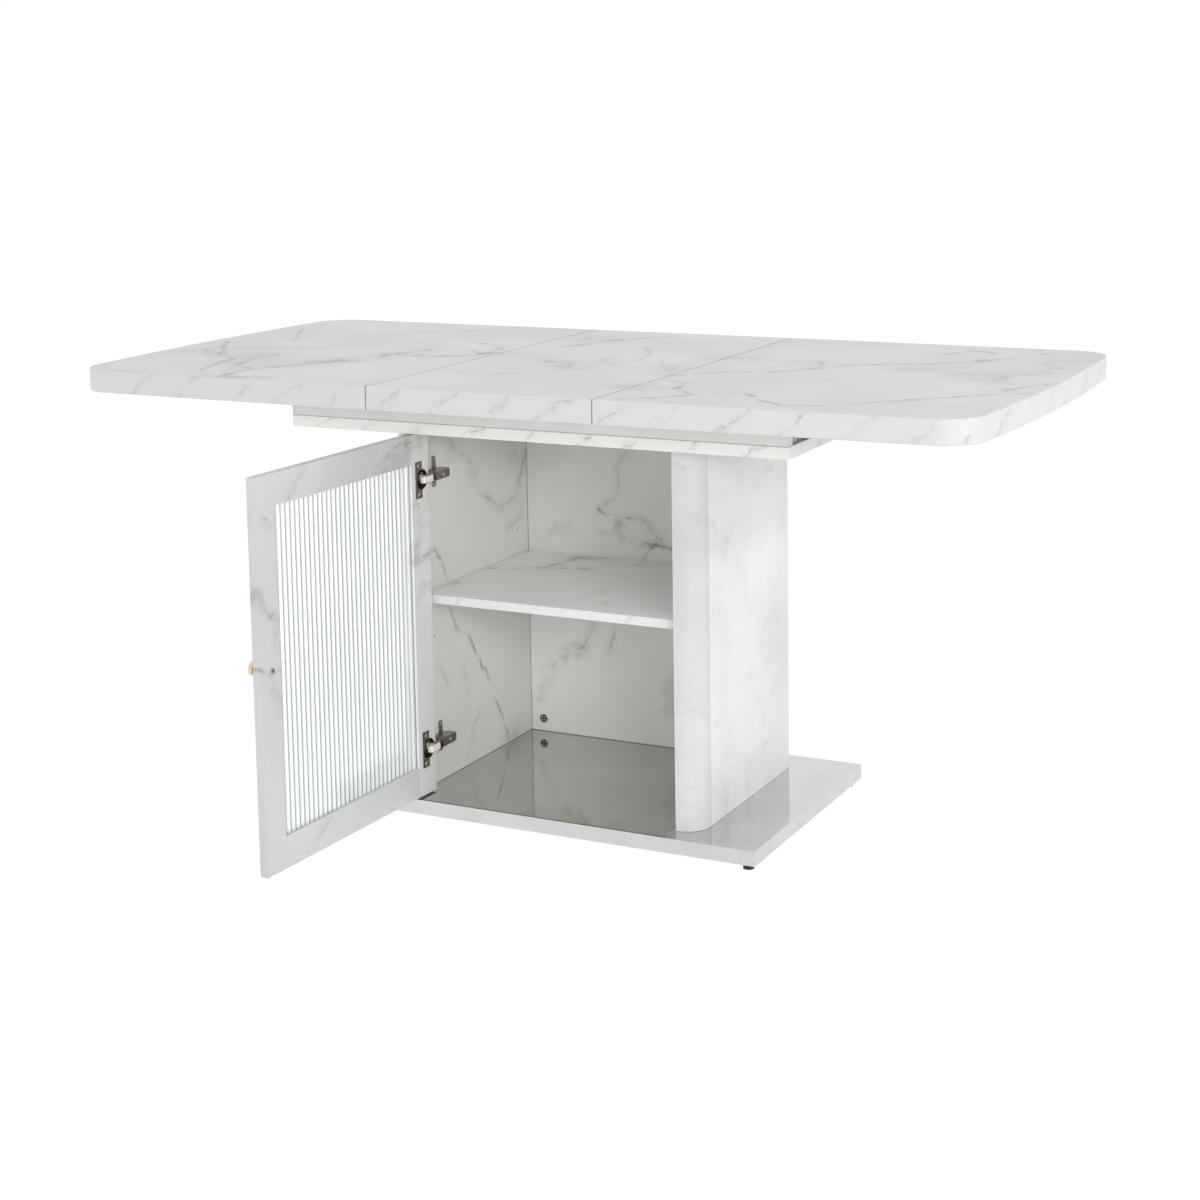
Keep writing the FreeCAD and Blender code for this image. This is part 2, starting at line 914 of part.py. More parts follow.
def hinge_cups():
    """Pressed cups with a tall flange, each with a cross pin that the arm's nose turns on."""
    cups = []
    pins = []
    for tag, z in hinge_heights():
        shell = rod(f"cup_{tag}_shell", (cup_x, door_back, z), "-y", d.cup_radius, d.cup_depth)
        collar = rod(f"cup_{tag}_collar", (cup_x, door_back, z), "y", d.cup_radius, d.cup_wall)
        half_x = d.flange_width / 2
        half_z = d.flange_height / 2
        low = (flange_x - half_x, door_back, z - half_z)
        high = (flange_x + half_x, door_back + d.cup_wall, z + half_z)
        flange = block(f"cup_{tag}_flange", low, high)
        whole = fuse(f"cup_{tag}_blank", [shell, collar, flange])
        inside = d.cup_radius - d.cup_wall
        above = door_back + d.cup_wall + 1
        tools = [rod(f"cup_{tag}_hollow", (cup_x, above, z), "-y", inside, d.cup_depth + 1)]
        tools += [
            rod(f"cup_{tag}_hole_{i}", (flange_x, above, z + step), "-y", screw_bore, d.cup_wall + 2)
            for i, step in enumerate((-(d.flange_screw_pitch / 2), d.flange_screw_pitch / 2))
        ]
        cups.append(cut(f"cup_{tag}", whole, tools))
        start = (pivot_x, pivot_y, z - d.hinge_pin_half)
        length = d.hinge_pin_half * 2
        pins.append(rod(f"hinge_pin_{tag}", start, "z", d.hinge_pin_radius, length))
    hang("hinge_cups", group("hinge_cup_set", cups))
    hang("hinge_pins", group("hinge_pin_set", pins))
    screws = [
        rod(f"cup_screw_{i}", (x, y + d.screw_proud, z), "-y", d.screw_radius, d.screw_proud + d.cup_grip)
        for i, (x, y, z) in enumerate(cup_screw_spots())
    ]
    hang("cup_screws", group("cup_screw_set", screws))


def hinge_links():
    """The cap between the arm's cheeks that turns with the cup."""
    for tag, z in hinge_heights():
        body = new_body(f"link_{tag}")
        half = arm_half - d.arm_wall - d.link_gap
        section = sketch_on(body, "XY_Plane", z - half)
        lip = cup_lip
        polygon(
            section,
            [
                (pivot_x - 3, pivot_y - 2.5),
                (pivot_x + 4, pivot_y - 2.5),
                (pivot_x + 6, pivot_y + lip),
                (pivot_x + 17, pivot_y + lip),
                (pivot_x + 17, pivot_y + lip + 6),
                (pivot_x + 15, pivot_y + lip + 8),
                (pivot_x - 9, pivot_y + lip + 8),
                (pivot_x - 11, pivot_y + lip + 6),
                (pivot_x - 11, pivot_y + lip),
                (pivot_x - 3, pivot_y + lip),
            ],
        )
        pad(body, section, half * 2)
        bore = rod(f"link_{tag}_bore", (pivot_x, pivot_y, z - half - 1), "z", d.hinge_pin_radius, half * 2 + 2)
        hang(f"hinge_link_{tag}", cut(f"link_{tag}_cut", body, [bore]))


def hinge_arms():
    """The fixed arms: a folded channel whose two cheeks dip into the cup as a hooked nose."""
    nose = d.nose_radius
    for tag, z in hinge_heights():
        body = new_body(f"arm_{tag}")
        section = sketch_on(body, "XY_Plane", z - arm_half)
        polygon(
            section,
            [
                (arm_low, arm_end),
                (neck_high, arm_end),
                (neck_high, pivot_y - nose),
                (pivot_x - nose, pivot_y - nose),
                (pivot_x - nose, pivot_y + nose),
                (neck_low, pivot_y + nose),
                (neck_low, neck_start),
                (arm_low, neck_start + 6),
            ],
        )
        pad(body, section, arm_half * 2)
        slot = sketch_on(body, "XY_Plane", z - arm_half + d.arm_wall)
        polygon(
            slot,
            [
                (arm_low - 1, arm_end + 1),
                (roof, arm_end + 1),
                (roof, neck_start + 2),
                (neck_high + 1, neck_start + 2),
                (neck_high + 1, pivot_y - nose - 1),
                (arm_low - 1, pivot_y - nose - 1),
            ],
        )
        pocket(body, slot, (arm_half - d.arm_wall) * 2)
        bore = rod(f"arm_{tag}_bore", (pivot_x, pivot_y, z - arm_half - 1), "z", pin_hole, arm_half * 2 + 2)
        hole = rod(f"arm_{tag}_hole", (roof - 1, arm_screw_y, z), "x", screw_bore, d.arm_wall + 2)
        node(f"hinge_arm_{tag}", cut(f"arm_{tag}_cut", body, [bore, hole]))


def hinge_plates():
    """Winged mounting plates with the block that the arm straddles, and the arms' screws."""
    block_half = arm_half - d.arm_wall - d.fit
    for tag, z in hinge_heights():
        half_y = d.plate_width / 2
        half_z = d.plate_height / 2
        low = (-wall, plate_middle - half_y, z - half_z)
        high = (-wall + d.plate_thick, plate_middle + half_y, z + half_z)
        wings = block(f"plate_{tag}_wings", low, high)
        low = (-wall, neck_start + d.riser_inset, z - block_half)
        riser = block(f"plate_{tag}_riser", low, (roof, arm_end, z + block_half))
        whole = fuse(f"plate_{tag}_blank", [wings, riser])
        spot = (roof + 1, arm_screw_y, z)
        thread = rod(f"plate_{tag}_thread", spot, "-x", screw_bore, d.arm_grip + 1)
        node(f"hinge_plate_{tag}", cut(f"plate_{tag}", whole, [thread]))
    out = neck_high + d.screw_proud
    length = d.screw_proud + d.arm_wall + d.arm_grip
    screws = [
        rod(f"arm_screw_{tag}", (out, arm_screw_y, z), "-x", d.screw_radius, length)
        for tag, z in hinge_heights()
    ]
    node("arm_screws", group("arm_screw_set", screws))


# ---------------------------------------------------------------- assembly

base()
side_shell()
side_panels()
back_panel()
shelf()
frame_board()
rails()
for side, half, lane in lanes():
    track(side, half, lane)
    runner(side, half, lane)
table_top()
stiles()
door_rails()
reeded_glass()
knob()
hinge_cups()
hinge_links()
hinge_arms()
hinge_plates()
doc.recompute()

for thing in doc.Objects:
    if {"Invalid", "Error"} & set(thing.State):
        raise RuntimeError(f"{thing.Label}: {thing.State}")
for thing in nodes:
    if thing.Shape.isNull() or not thing.Shape.isValid() or not thing.Shape.Solids:
        raise RuntimeError(f"{thing.Label}: its shape isn't a valid solid")

os.makedirs("parts", exist_ok=True)
for thing in nodes:
    thing.Shape.exportStep(f"parts/{thing.Label}.step")
print(len(nodes), "nodes")
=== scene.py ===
"""Looks of an extending dining table on a pedestal cabinet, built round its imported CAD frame.

All lengths are in metres. +X runs along the table, -Y is the door side, +Z is up.
"""

import json
import math

import bmesh
import bpy
from mathutils import Matrix, Vector


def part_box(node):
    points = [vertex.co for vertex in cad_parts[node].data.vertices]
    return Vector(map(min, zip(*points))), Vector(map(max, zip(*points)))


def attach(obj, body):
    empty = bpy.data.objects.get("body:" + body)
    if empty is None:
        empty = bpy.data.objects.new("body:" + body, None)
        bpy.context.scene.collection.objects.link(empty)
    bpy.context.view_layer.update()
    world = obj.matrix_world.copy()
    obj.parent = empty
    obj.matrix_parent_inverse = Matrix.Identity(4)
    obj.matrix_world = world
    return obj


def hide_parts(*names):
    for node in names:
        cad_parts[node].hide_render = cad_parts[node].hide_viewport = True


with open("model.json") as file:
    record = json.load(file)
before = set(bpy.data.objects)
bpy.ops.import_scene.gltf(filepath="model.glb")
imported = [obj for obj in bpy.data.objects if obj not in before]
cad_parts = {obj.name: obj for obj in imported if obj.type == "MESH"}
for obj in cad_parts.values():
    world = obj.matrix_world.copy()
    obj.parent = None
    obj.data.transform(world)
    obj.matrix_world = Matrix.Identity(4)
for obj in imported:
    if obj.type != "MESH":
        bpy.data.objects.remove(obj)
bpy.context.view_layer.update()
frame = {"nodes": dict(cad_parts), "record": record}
nodes = frame["nodes"]

behaviour = frame["record"]["behaviour"]
BODY_OF = {node: body for body, members in behaviour["bodies"].items() for node in members}
DOOR_JOINT = next(joint for joint in behaviour["joints"] if joint["name"] == "door_hinge")


def metres(*millimetres):
    """A place in metres from its numbers in millimetres."""
    return Vector(millimetres) / 1000


# ---------------------------------------------------------------- camera

FRAME_PIXELS = 1200
FOCAL_PIXELS = 2219.5
OPTICAL_AXIS_ROW = 360
SENSOR_WIDTH = 36.0
CAMERA_PLACE = Vector((1.6924, -3.3118, 1.2494))
CAMERA_TURN = 0.4695
CAMERA_PITCH = 0.1307
CAMERA_ROLL = -0.0165


def make_camera():
    """The photograph's viewpoint: right of the door side, a little above the table top."""
    data = bpy.data.cameras.new("camera")
    data.sensor_width = SENSOR_WIDTH
    data.lens = FOCAL_PIXELS / FRAME_PIXELS * SENSOR_WIDTH
    data.shift_y = (OPTICAL_AXIS_ROW - FRAME_PIXELS / 2) / FRAME_PIXELS
    data.clip_start = 0.05
    data.clip_end = 200
    level_ahead = Vector((-math.sin(CAMERA_TURN), math.cos(CAMERA_TURN), 0))
    level_right = Vector((math.cos(CAMERA_TURN), math.sin(CAMERA_TURN), 0))
    level_up = Vector((0, 0, 1))
    ahead = level_ahead * math.cos(CAMERA_PITCH) - level_up * math.sin(CAMERA_PITCH)
    upright = level_up * math.cos(CAMERA_PITCH) + level_ahead * math.sin(CAMERA_PITCH)
    right = level_right * math.cos(CAMERA_ROLL) + upright * math.sin(CAMERA_ROLL)
    up = upright * math.cos(CAMERA_ROLL) - level_right * math.sin(CAMERA_ROLL)
    camera = bpy.data.objects.new("camera", data)
    turn = Matrix((right, up, -ahead)).transposed()
    camera.matrix_world = Matrix.LocRotScale(CAMERA_PLACE, turn.to_quaternion(), None)
    bpy.context.scene.collection.objects.link(camera)
    bpy.context.scene.camera = camera


# ---------------------------------------------------------------- shader building


def tone(red, green, blue):
    """An sRGB colour from 0 to 255 as a linear colour."""
    linear = [
        part / 255 / 12.92 if part <= 10.3 else ((part / 255 + 0.055) / 1.055) ** 2.4
        for part in (red, green, blue)
    ]
    return (*linear, 1.0)


def scaled(colour, factor, lift=0.0):
    """A linear colour that is multiplied, and lifted by the same amount in each part."""
    return [part * factor + lift for part in colour[:3]] + [1.0]


class Shader:
    """A material and short calls that add nodes to it."""

    def __init__(self, name, surface=None):
        self.material = bpy.data.materials.new(name)
        self.material.use_nodes = True
        self.tree = self.material.node_tree
        self.surface = self.tree.nodes["Principled BSDF"]
        self.apply(surface or {})
        self.place = self.node("ShaderNodeTexCoord").outputs["Object"]

    def apply(self, surface):
        """Sets the surface's own sockets by name."""
        for socket, value in surface.items():
            self.set(self.surface, socket, value)

    def set(self, node, socket, value):
        """Links a socket to another, or sets its own value."""
        target = node.inputs[socket]
        if isinstance(value, bpy.types.NodeSocket):
            self.tree.links.new(value, target)
        else:
            target.default_value = value

    def node(self, kind, settings=None, inputs=None):
        """One node with its settings and inputs."""
        node = self.tree.nodes.new(kind)
        for name, value in (settings or {}).items():
            setattr(node, name, value)
        for socket, value in (inputs or {}).items():
            self.set(node, socket, value)
        return node

    def math(self, operation, first, second=0.0, third=0.0, clamp=False):
        """One sum on numbers."""
        inputs = {0: first, 1: second, 2: third}
        settings = {"operation": operation, "use_clamp": clamp}
        return self.node("ShaderNodeMath", settings, inputs).outputs[0]

    def times(self, first, second):
        """The product of two numbers."""
        return self.math("MULTIPLY", first, second)

    def plus_times(self, start, first, second):
        """A number plus the product of two others."""
        return self.math("MULTIPLY_ADD", first, second, start)

    def apart(self, first, second):
        """How far two numbers are from each other."""
        return self.math("ABSOLUTE", self.math("SUBTRACT", first, second))

    def vector(self, operation, first, second=(0, 0, 0)):
        """One sum on vectors, which gives a number if it is a dot product or a length."""
        inputs = {0: first, "Scale" if operation == "SCALE" else 1: second}
        outputs = self.node("ShaderNodeVectorMath", {"operation": operation}, inputs).outputs
        return outputs["Value" if operation in ("DOT_PRODUCT", "LENGTH") else "Vector"]

    def split(self, vector):
        """The three numbers of a vector."""
        return self.node("ShaderNodeSeparateXYZ", None, {0: vector}).outputs

    def coordinate(self, axis):
        """The x, y or z of the place."""
        return self.split(self.place)["xyz".index(axis)]

    def facing(self):
        """The three numbers of the direction that the surface faces."""
        return self.split(self.node("ShaderNodeTexCoord").outputs["Normal"])

    def mapped(self, vector, scale=(1, 1, 1), turn=(0, 0, 0), shift=(0, 0, 0)):
        """A vector that is shifted, turned and scaled."""
        inputs = {"Vector": vector, "Scale": scale, "Rotation": turn, "Location": shift}
        return self.node("ShaderNodeMapping", None, inputs).outputs[0]

    def noise(self, vector, scale, detail=2.0, roughness=0.5):
        """Soft noise about 0.5, as a number and as a colour."""
        inputs = {"Vector": vector, "Scale": scale, "Detail": detail, "Roughness": roughness}
        return self.node("ShaderNodeTexNoise", None, inputs).outputs

    def step(self, value, start, end, low=0.0, high=1.0):
        """A smooth change from low to high as the value goes from start to end."""
        inputs = {"Value": value, 1: start, 2: end, 3: low, 4: high}
        settings = {"interpolation_type": "SMOOTHSTEP"}
        return self.node("ShaderNodeMapRange", settings, inputs).outputs[0]

    def fade(self, value, start, end, high=1.0):
        """A smooth fall from high to nothing as the value goes from start to end."""
        return self.step(value, start, end, high, 0.0)

    def mix(self, factor, first, second, blend="MIX"):
        """A colour between two, or the first blended with the second."""
        inputs = {0: factor, 6: first, 7: second}
        settings = {"data_type": "RGBA", "blend_type": blend}
        return self.node("ShaderNodeMix", settings, inputs).outputs[2]

    def bump(self, height, strength, distance):
        """Bends the surface's normal by a height."""
        inputs = {"Height": height, "Strength": strength, "Distance": distance}
        self.set(self.surface, "Normal", self.node("ShaderNodeBump", None, inputs).outputs[0])


def warped(shader, place, scale, reach, detail=3.0):
    """The place moved about by noise."""
    drift = shader.noise(place, scale, detail, roughness=0.6)[1]
    centred = shader.vector("SUBTRACT", drift, (0.5, 0.5, 0.5))
    return shader.vector("ADD", place, shader.vector("MULTIPLY", centred, (reach,) * 3))


def flattened(shader, place, plane):
    """The two coordinates of a plane, such as "xz", as a flat vector."""
    axes = shader.split(place)
    first, second = (axes["xyz".index(letter)] for letter in plane)
    return shader.node("ShaderNodeCombineXYZ", None, {0: first, 1: second}).outputs[0]


def away_from(shader, spot, route):
    """How far a spot is from a route of straight runs, in metres."""
    nearest = None
    for start, end in zip(route, route[1:]):
        start, end = metres(*start, 0), metres(*end, 0)
        run = end - start
        offset = shader.vector("SUBTRACT", spot, tuple(start))
        share = shader.vector("DOT_PRODUCT", offset, tuple(run / run.length_squared))
        share = shader.math("ADD", share, 0.0, clamp=True)
        along = shader.vector("SCALE", tuple(run), share)
        gap = shader.vector("LENGTH", shader.vector("SUBTRACT", offset, along))
        nearest = gap if nearest is None else shader.math("MINIMUM", nearest, gap)
    return nearest


# ---------------------------------------------------------------- marble-look laminate

STONE = {
    "seed": 0.0,
    "roughness": 0.32,
    "light": tone(232, 232, 232),
    "shade": tone(223, 224, 225),
    "vein": tone(176, 168, 162),
    "dark": tone(138, 128, 120),
    # faint net of veins
    "stretch": (1, 1, 1),
    "turn": (0, 0, 0),
    "cover": (0.5, 0.62),
    "smoke": 0.18,
    "net": 0.3,
    "streaks": 0.0,
    # main veins
    "routes": (),
    "plane": "xy",
    "unfold": None,
    "core": 0.0036,
    "halo": 0.55,
    "wander": 0.03,
    # edge strip
    "edge_across": 0.9,
    "edge_slant": 1.2,
    "edge_pitch": 0.097,
    "edge_light": tone(232, 233, 231),
    "edge_vein": tone(172, 168, 164),
}

# Tone of the painted shade beside the thin gap between two pieces, and of a dark line that is
# a real joint on the column and painted shade where two faces meet elsewhere.
SEAM_SHADE_TONE = tone(96, 94, 92)
JOINT_AND_CORNER_SHADE_TONE = tone(104, 101, 98)
# Where the painted shade beside a seam starts to fade, how wide it is, and how much wider on top.
SEAM_CORE, SEAM_WIDTH, SEAM_SPREAD = 0.0006, 0.0014, 0.0012
# How far from its middle a main vein starts to fade.
VEIN_CORE = 0.0004
# Scale and line width of the net of veins, and the width of the smoke beside its lines.
NET_SCALE, NET_WIDTH, SMOKE_WIDTH = 2.6, 0.014, 0.09

# Main veins of each face: strength, half width of the smudge beside it, and its route in millimetres.
LEFT_TOP_VEINS = (
    (0.8, 20, ((-415, -375), (-488, -385), (-500, -335), (-482, -270), (-425, -205))),
    (1.0, 58, ((-428, -200), (-405, -130), (-370, -55), (-335, 60))),
    (0.6, 10, ((-420, -140), (-352, -148), (-345, -100), (-380, -60))),
    (0.8, 25, ((-345, -45), (-250, -32), (-216, 20), (-238, 110), (-300, 140))),
    (0.7, 8, ((-262, 50), (-232, 15), (-222, -5))),
    (0.6, 12, ((-760, 0), (-700, -92), (-650, -160), (-605, -190), (-588, -280), (-560, -340))),
    (0.7, 10, ((-575, -175), (-545, -268), (-500, -285))),
    (0.35, 14, ((-745, 215), (-690, 130), (-650, 60))),
    (0.35, 45, ((-560, 170), (-470, 260), (-385, 330), (-330, 390))),
)
LEAF_VEINS = (
    (0.6, 22, ((-140, 130), (-92, 260), (-20, 350))),
    (0.3, 14, ((0, 200), (52, 120), (72, 20))),
    (0.35, 18, ((0, 75), (8, 15), (48, -30), (68, -55), (20, -105), (-28, -175))),
    (0.5, 14, ((-75, -55), (-55, -22), (-28, -30), (0, -85), (8, -105))),
    (0.4, 25, ((-190, -190), (-100, -212), (-28, -175))),
    (0.25, 20, ((100, 40), (165, -50), (200, -130))),
)
RIGHT_TOP_VEINS = (
    (0.6, 26, ((200, -130), (262, -60), (335, -32), (382, 30), (430, 92), (520, 140), (600, 190))),
    (0.4, 22, ((310, 0), (332, 100), (365, 125), (392, 40))),
    (0.4, 26, ((600, 190), (645, 260), (690, 340), (655, 395))),
    (0.45, 24, ((530, 270), (562, 330), (602, 318), (612, 190))),
    (0.6, 20, ((200, -165), (262, -190), (272, -250), (322, -300), (290, -345), (235, -375))),
    (0.5, 12, ((350, -282), (392, -258), (440, -322), (490, -352), (562, -332), (622, -260))),
    (0.75, 18, ((622, -260), (682, -198), (740, -142), (795, -120))),
    (0.7, 34, ((740, -120), (760, -60), (790, -20))),
)
SIDE_WALL_VEINS = (
    (0.55, 24, ((-95, 632), (-60, 600), (-18, 572), (2, 545), (22, 508), (62, 490), (102, 474), (142, 486))),
    (0.5, 20, ((142, 486), (165, 520), (185, 560))),
    (0.7, 10, ((-205, 446), (-150, 452), (-122, 430), (-105, 392), (-95, 340), (-72, 292), (-32, 255))),
    (0.75, 8, ((-32, 255), (0, 216), (30, 182), (58, 132), (80, 92), (102, 42))),
    (0.35, 22, ((-52, 205), (-50, 140))),
    (0.4, 18, ((-132, 240), (-108, 200))),
    (0.4, 14, ((-45, 48), (-22, 100), (0, 120))),
    (0.3, 24, ((110, 430), (165, 450))),
)
BACK_WALL_VEINS = (
    (0.4, 16, ((-38, 575), (-50, 540), (-52, 490), (-82, 470))),
    (0.8, 10, ((-92, 465), (-60, 442), (-38, 430))),
    (0.5, 14, ((-70, 455), (0, 440), (30, 410))),
    (0.9, 12, ((-88, 421), (-62, 420), (-48, 440), (-50, 414), (0, 402), (60, 397), (140, 410), (225, 392))),
    (0.7, 10, ((-5, 378), (22, 402))),
    (0.35, 24, ((-205, 408), (-170, 430), (-150, 426))),
    (0.5, 22, ((-105, 250), (-130, 202), (-180, 172), (-206, 130), (-226, 88))),
    (0.5, 30, ((-175, 178), (-132, 200))),
    (0.6, 14, ((-60, 255), (-76, 200))),
)
SHELF_VEINS = (
    (0.7, 34, ((-237, 20), (-190, 42), (-140, 50), (-100, 80), (-30, 92))),
    (0.7, 34, ((-150, 30), (-132, 110), (-128, 165), (-85, 189))),
    (0.5, 24, ((-128, 165), (-60, 150), (20, 160))),
    (0.3, 20, ((10, 10), (42, -60), (82, -130))),
)
DOOR_VEINS = (
    (0.75, 10, ((-200, 650), (-152, 641), (-102, 626), (-78, 611))),
    (0.7, 14, ((98, 655), (118, 641), (150, 608))),
    (0.4, 22, ((195, 585), (232, 600))),
    (0.75, 16, ((235, 482), (212, 442), (190, 428), (196, 396))),
    (0.6, 8, ((186, 350), (208, 346), (236, 366))),
    (0.65, 18, ((-235, 545), (-212, 520), (-198, 540))),
    (0.6, 22, ((-205, 500), (-192, 470))),
    (0.45, 26, ((186, 300), (215, 330))),
    (0.7, 16, ((-235, 448), (-205, 454), (-186, 448))),
    (0.6, 18, ((-235, 395), (-210, 398), (-188, 382))),
    (0.4, 14, ((-130, 86), (-110, 62), (-98, 40))),
    (0.4, 18, ((60, 84), (120, 60), (160, 38))),
)


def vein_net(shader, place, scale, width, seed, reach=0.25):
    """Branching veins: 1 on the line where a warped noise passes its middle, 0 away from it."""
    moved = shader.vector("ADD", place, (seed, seed * 1.7, seed * 0.6))
    field = shader.noise(warped(shader, moved, scale * 2.2, reach), scale, detail=1.0)[0]
    return shader.fade(shader.apart(field, 0.5), 0.0, width)


def clouded(shader, look):
    """The pale ground of the stone, with darker clouds."""
    place = shader.mapped(shader.place, turn=(0, 0, 0.6), shift=(look["seed"], 0, 0))
    cloud = shader.noise(place, scale=3.0, detail=4.0, roughness=0.55)[0]
    return shader.mix(shader.step(cloud, 0.35, 0.7), look["light"], look["shade"])


def netted(shader, look, colour):
    """A colour under a faint net of veins, which shows in patches and has smoke beside its lines."""
    place = shader.mapped(shader.place, look["stretch"], look["turn"])
    patch = shader.step(shader.noise(place, scale=3.1)[0], *look["cover"])
    for width, strength in ((SMOKE_WIDTH, look["smoke"]), (NET_WIDTH, look["net"])):
        vein = shader.times(vein_net(shader, place, NET_SCALE, width, look["seed"]), patch)
        colour = shader.mix(shader.times(vein, strength), colour, look["vein"])
    return colour


def streaked(shader, look, colour):
    """A colour under patches of close slanting streaks, thin ones and then wider, fainter ones."""
    slanted = shader.mapped(shader.place, turn=(0.75, -0.75, 0))
    stretched = shader.mapped(slanted, scale=(1, 1, 0.4))
    cloud = shader.noise(shader.place, scale=11.0, detail=3.0, roughness=0.6)[0]
    patch = shader.step(cloud, 0.45, 0.65)
    for scale, width, share in ((9.0, 0.022, 1.0), (15.0, 0.06, 0.5)):
        net = vein_net(shader, stretched, scale, width, look["seed"], reach=0.06)
        amount = shader.times(shader.times(net, patch), look["streaks"] * share)
        colour = shader.mix(amount, colour, look["vein"])
    return colour


def veined(shader, look, colour):
    """A colour under the main veins: broken lines of uneven width, with a smudge beside them."""
    rough = shader.noise(shader.place, scale=26.0, detail=5.0, roughness=0.7)[0]
    feather = shader.step(rough, 0.38, 0.66)
    broken = shader.plus_times(0.45, feather, 0.55)
    place = shader.mapped(shader.place, *look["unfold"]) if look["unfold"] else shader.place
    spot = flattened(shader, place, look["plane"])
    spot = warped(shader, spot, scale=9.0, reach=look["wander"], detail=1.0)
    spot = warped(shader, spot, scale=40.0, reach=0.016)
    swell = shader.noise(shader.place, scale=17.0)[0]
    width = shader.step(swell, 0.35, 0.65, look["core"] * 0.4, look["core"] * 1.3)
    for strength, smudge, route in look["routes"]:
        gap = away_from(shader, spot, route)
        halo = shader.times(shader.fade(gap, 0.0, smudge / 1000), feather)
        colour = shader.mix(shader.times(halo, strength * look["halo"]), colour, look["vein"])
        line = shader.times(shader.fade(gap, VEIN_CORE, width), broken)
        colour = shader.mix(shader.times(line, strength), colour, look["dark"])
    return colour


def edge_strip(shader, look):
    """The colour of an edge strip, with thin slanting veins about a pitch apart."""
    along, across_it, height = shader.split(shader.place)
    run = shader.math("ADD", shader.times(across_it, look["edge_across"]), along)
    slanted = shader.plus_times(run, height, -look["edge_slant"])
    drift = shader.noise(shader.place, scale=16.0, detail=4.0, roughness=0.6)[0]
    slanted = shader.plus_times(slanted, shader.math("SUBTRACT", drift, 0.5), 0.09)
    phase = shader.math("FRACT", shader.math("DIVIDE", slanted, look["edge_pitch"]))
    gap = shader.apart(phase, 0.5)
    rough = shader.noise(shader.place, scale=30.0, detail=4.0, roughness=0.7)[0]
    feather = shader.step(rough, 0.4, 0.65)
    haze = shader.times(shader.times(shader.fade(gap, 0.0, 0.2), feather), 0.3)
    colour = shader.mix(haze, look["edge_light"], look["edge_vein"])
    line = shader.times(shader.fade(gap, 0.0, 0.024), shader.plus_times(0.2, feather, 0.5))
    return shader.mix(line, colour, look["edge_vein"])


def seam_shaded(shader, facing, place, colour):
    """A colour under a dark line of painted shade beside a thin gap at an X,
    but not on faces that lie along the gap.
    """
    gap = shader.apart(shader.coordinate("x"), place)
    crossing = shader.math("LESS_THAN", shader.math("ABSOLUTE", facing[0]), 0.5)
    on_top = shader.math("GREATER_THAN", facing[2], 0.5)
    width = shader.plus_times(SEAM_WIDTH, on_top, SEAM_SPREAD)
    line = shader.times(shader.fade(gap, SEAM_CORE, width, 0.85), crossing)
    return shader.mix(line, colour, SEAM_SHADE_TONE)


def painted_light_and_shade(shader, shading_tint, levels, colour):
    """Painted light and shade: a colour multiplied by shading_tint wherever the place
    is below all levels, each with its axis.
    """
    below = 1.0
    for axis, level in levels:
        below = shader.times(shader.math("LESS_THAN", shader.coordinate(axis), level), below)
    shade = shader.mix(below, (1.0, 1.0, 1.0, 1.0), shading_tint)
    return shader.mix(1.0, colour, shade, blend="MULTIPLY")


def marble(name, edges=False, seams=(), joints=(), shading_tint=None, levels=(), **changes):
    """A marble-look laminate. With edges, faces that don't look up or down get an edge strip.

    A seam is a thin gap at an X, with a dark line of painted shade beside it.
    A joint is a dark line: axis, place, reach and depth. On the column it is a real joint line;
    elsewhere it is painted shade where two faces meet.
    shading_tint multiplies what lies below all levels: painted light above 1, painted shade below 1.
    """
    look = {**STONE, **changes}
    shader = Shader(name, {"Specular IOR Level": 0.45})
    facing = shader.facing()
    colour = netted(shader, look, clouded(shader, look))
    if look["streaks"]:
        colour = streaked(shader, look, colour)
    if look["routes"]:
        colour = veined(shader, look, colour)
    if edges:
        upright = shader.math("LESS_THAN", shader.math("ABSOLUTE", facing[2]), 0.5)
        colour = shader.mix(upright, colour, edge_strip(shader, look))
    # Painted shade beside the thin gaps between the top's pieces.
    for place in seams:
        colour = seam_shaded(shader, facing, place, colour)
    # Painted light and shade: lighter or darker below the levels.
    if shading_tint:
        colour = painted_light_and_shade(shader, shading_tint, levels, colour)
    # Dark lines: a real joint line on the column, painted shade at inside corners and under the rails.
    for axis, place, reach, depth in joints:
        near = shader.fade(shader.apart(shader.coordinate(axis), place), 0.0, reach, depth)
        colour = shader.mix(near, colour, JOINT_AND_CORNER_SHADE_TONE)
    smudge = shader.noise(shader.place, scale=6.0, detail=3.0)[0]
    gloss = look["roughness"]
    roughness = shader.step(smudge, 0.3, 0.7, gloss - 0.04, gloss + 0.05)
    shader.apply({"Base Color": colour, "Roughness": roughness})
    shader.bump(shader.noise(shader.place, scale=70.0)[0], strength=0.03, distance=0.0003)
    return shader.material


def plain_laminate(name, colour):
    """Plain satin laminate with a faint mottle."""
    shader = Shader(name)
    mottle = shader.step(shader.noise(shader.place, scale=25.0, detail=4.0)[0], 0.3, 0.7)
    shader.apply({"Base Color": shader.mix(mottle, colour, scaled(colour, 0.95)), "Roughness": 0.4})
    shader.bump(shader.noise(shader.place, scale=700.0)[0], strength=0.05, distance=0.0002)
    return shader.material


# ---------------------------------------------------------------- metal and plastic

BLACK = (0.0, 0.0, 0.0, 1.0)
RIM_TONE = tone(96, 94, 90)
# How far from the middle the painted shade of the cabinet's inside ends, and over what width it fades.
CABINET_HALF, CABINET_FADE = 0.232, 0.004
# How far from the front of the base the dark rim line starts and ends.
RIM_START, RIM_END = 0.003, 0.006


